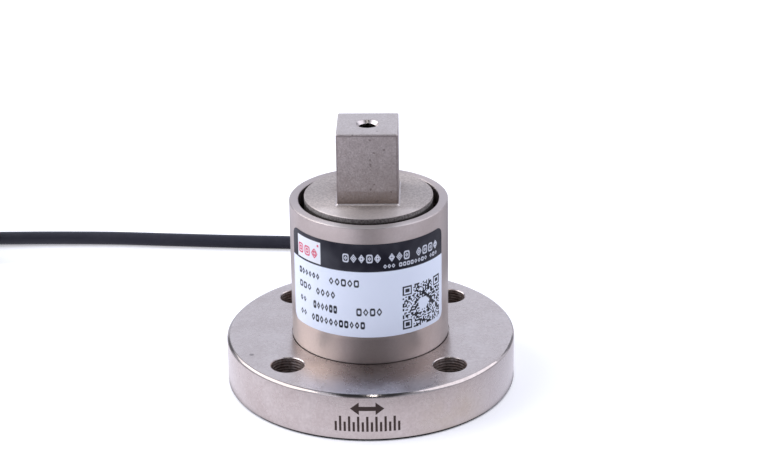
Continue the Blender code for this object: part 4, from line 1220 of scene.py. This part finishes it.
def name_label():
    """The film: a grid in (across, height) bent round the sleeve, angle = across / radius. Near its ends
    the film is as much shorter as the quarter circle of its corners leaves, and it has a thin edge all
    round."""
    across = np.linspace(-LABEL_HALF, LABEL_HALF, 428)
    inset = np.clip(LABEL_CORNER - (LABEL_HALF - np.abs(across)), 0, LABEL_CORNER)
    cut = LABEL_CORNER - np.sqrt(LABEL_CORNER**2 - inset**2)
    share = np.linspace(0, 1, 229)[:, None]
    height = LABEL_LOW + cut + share * (LABEL_HIGH - LABEL_LOW - 2 * cut)
    across = np.broadcast_to(across, height.shape)
    angle = across / SLEEVE_RADIUS + LABEL_MIDDLE
    film = np.stack([LABEL_RADIUS * np.sin(angle), -LABEL_RADIUS * np.cos(angle), height], axis=-1)
    # Around the film, one more row and column of points lies on the sleeve itself, for the film's edge.
    film, colour = (
        np.pad(part, ((1, 1), (1, 1), (0, 0)), mode="edge") for part in (film, label_ink(across, height))
    )
    edge = np.ones(film.shape[:2], bool)
    edge[1:-1, 1:-1] = False
    film[edge, :2] *= (SLEEVE_RADIUS + 0.005) / LABEL_RADIUS
    index = np.arange(edge.size).reshape(edge.shape)
    mesh = fill_mesh("label", film.reshape(-1, 3), grid_faces(index))
    ink = mesh.color_attributes.new("ink", "FLOAT_COLOR", "POINT")
    ink.data.foreach_set("color", np.dstack([colour, np.ones(edge.shape)]).astype(np.float32).ravel())
    return show("name_label_fine", mesh, label_film_finish(), sharp=50)


label = name_label()
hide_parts("name_label")
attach(label, "root")

# Table, light and camera

# A white table that runs on into a white background, under broad soft lights. They are not part of the
# sensor. The lamps and the camera are placed in metres.

TABLE_Z = -0.03


def table():
    """A wide flat sheet just below the flange, white to the eye and in reflections, which keeps its
    shadows."""
    outline = ((-1500, -1500), (1500, -1500), (1500, 2500), (-1500, 2500))
    corners = np.array([(x, y, TABLE_Z) for x, y in outline])
    mesh = bpy.data.meshes.new("table")
    mesh.from_pydata((corners * MM).tolist(), [], [(0, 1, 2, 3)])
    piece = bpy.data.objects.new("table", mesh)
    bpy.context.scene.collection.objects.link(piece)
    material, shader, bench = new_finish("table_white", (0.80, 0.80, 0.81), 0.9, Specular_IOR_Level=0.0)
    rays = bench.add("LightPath").outputs
    x, y, _ = bench.xyz()
    reach = bench.radius(x, y)
    # As the steel sees it, the table is bright close by, brightest at the left, and falls off towards the
    # camera.
    close = bench.span(x, -50.0, 50.0, 1.34, 0.97)
    ahead = bench.span(y, -130.0, -70.0, 0.60, 0.26)
    away = bench.plus(ahead, bench.span(x, -20.0, -80.0, 0.0, 0.85), bench.span(x, 30.0, 90.0, 0.0, 0.5))
    fade = bench.span(reach, 46.0, 62.0)
    glow = bench.plus(bench.times(close, bench.minus(1.0, fade)), bench.times(away, fade))
    touch = bench.span(reach, FLANGE_RADIUS, FLANGE_RADIUS + 1)
    mirrored = bench.tint(bench.times(glow, touch), 0.94, 0.94, 1.08)
    # To the camera it is a little lighter than it is lit, except right at the flange's foot and, at the far
    # left, much lighter, so that it runs on into white beside the coil.
    foot = bench.span(reach, FLANGE_RADIUS - 0.4, FLANGE_RADIUS)
    side = bench.times(bench.span(x, -62.0, -76.0), bench.span(y, 56.0, 50.0))
    far = bench.span(reach, 120.0, 300.0, 0.0, 0.6)
    plain = bench.tint(bench.plus(bench.times(foot, 0.42), bench.times(side, 0.7), far), 0.97, 0.96, 1.0)
    bench.wire(
        shader,
        Base_Color=bench.mix(rays["Is Glossy Ray"], (0.80, 0.80, 0.81), (0.0, 0.0, 0.0)),
        Emission_Color=bench.mix(rays["Is Glossy Ray"], plain, mirrored),
        Emission_Strength=bench.math("ADD", rays["Is Camera Ray"], rays["Is Glossy Ray"], clamp=True),
    )
    mesh.materials.append(material)


def surroundings():
    """The world: white to the camera. To the sensor it is a light tent, bright at the back and at both
    sides, with a dark opening in front and above for the camera and a dark gap low down on each side of
    the back."""
    world = bpy.data.worlds.new("studio")
    bpy.context.scene.world = world
    world.use_nodes = True
    bench = Bench(world.node_tree)
    out = world.node_tree.nodes["World Output"]
    for node in list(world.node_tree.nodes):
        if node != out:
            world.node_tree.nodes.remove(node)
    x, y, z = bench.add("SeparateXYZ", {0: bench.add("TexCoord").outputs["Generated"]}).outputs
    back = bench.span(y, -0.05, 0.6, 0.0, 0.86)
    left = bench.span(x, -0.30, -0.42, 0.0, 0.9)
    right = bench.span(x, 0.26, 0.45, 0.0, 0.4)
    off = bench.size(x)
    gap = bench.times(bench.span(off, 0.47, 0.53), bench.span(off, 0.76, 0.71))
    gap = bench.times(gap, bench.span(z, 0.40, 0.35), bench.above(y, 0.0))
    tent = bench.times(bench.most(back, left, right), bench.minus(1.0, bench.times(gap, 0.85)))
    level = bench.plus(tent, bench.span(z, 0.55, 0.8, 0.18, 0.05))
    is_camera = bench.add("LightPath").outputs["Is Camera Ray"]
    white = bench.mix(is_camera, bench.tint(level, 0.93, 0.995, 1.18), (1.0, 1.0, 1.0))
    light = bench.add("Background", {"Color": white, "Strength": 1.0})
    bench.feed(out.inputs["Surface"], light.outputs[0])


def lamp(name, place, target, size, power, colour=(1, 1, 1)):
    """A rectangular soft light aimed at a point, in metres and watts."""
    data = bpy.data.lights.new(name, "AREA")
    data.shape = "RECTANGLE"
    data.size, data.size_y = size
    data.energy = power
    data.color = colour
    piece = bpy.data.objects.new(name, data)
    bpy.context.scene.collection.objects.link(piece)
    piece.location = place
    piece.rotation_euler = (Vector(target) - Vector(place)).to_track_quat("-Z", "Y").to_euler()


def camera():
    """The photographer's camera, solved from the flange's and the sleeve's outlines."""
    data = bpy.data.cameras.new("camera")
    data.lens = 110.31
    data.sensor_width = 36.0
    data.sensor_fit = "HORIZONTAL"
    data.clip_start, data.clip_end = 0.01, 20.0
    piece = bpy.data.objects.new("camera", data)
    bpy.context.scene.collection.objects.link(piece)
    place = Vector((0.013402, -0.429173, 0.217239))
    target = Vector((0.002972, 0.000072, 0.031771))
    roll = math.radians(-0.744)
    turn = (target - place).to_track_quat("-Z", "Y").to_matrix() @ Matrix.Rotation(roll, 3, "Z")
    piece.matrix_world = Matrix.Translation(place) @ turn.to_4x4()
    bpy.context.scene.camera = piece


table()
surroundings()
lamp("left_softbox", (-0.62, 0.0, 0.55), (0, 0, 0.02), (0.8, 0.5), 3.45, (0.99, 0.985, 1.02))
lamp("left_strip", (-0.62, 0.42, 0.42), (-0.02, 0, 0.01), (0.24, 0.30), 0.5, (0.99, 0.985, 1.02))
lamp("right_softbox", (0.64, 0.05, 0.6), (0, 0, 0.02), (0.75, 0.85), 2.7, (0.95, 0.97, 1.08))
# A narrow lamp over the table's front edge makes the bright spot in the flange's dark roof line.
lamp("gap_lamp", (0.014, -0.235, 0.555), (0, 0, 0.02), (0.014, 0.26), 0.11)
camera()

bpy.context.scene.view_settings.view_transform = "Standard"
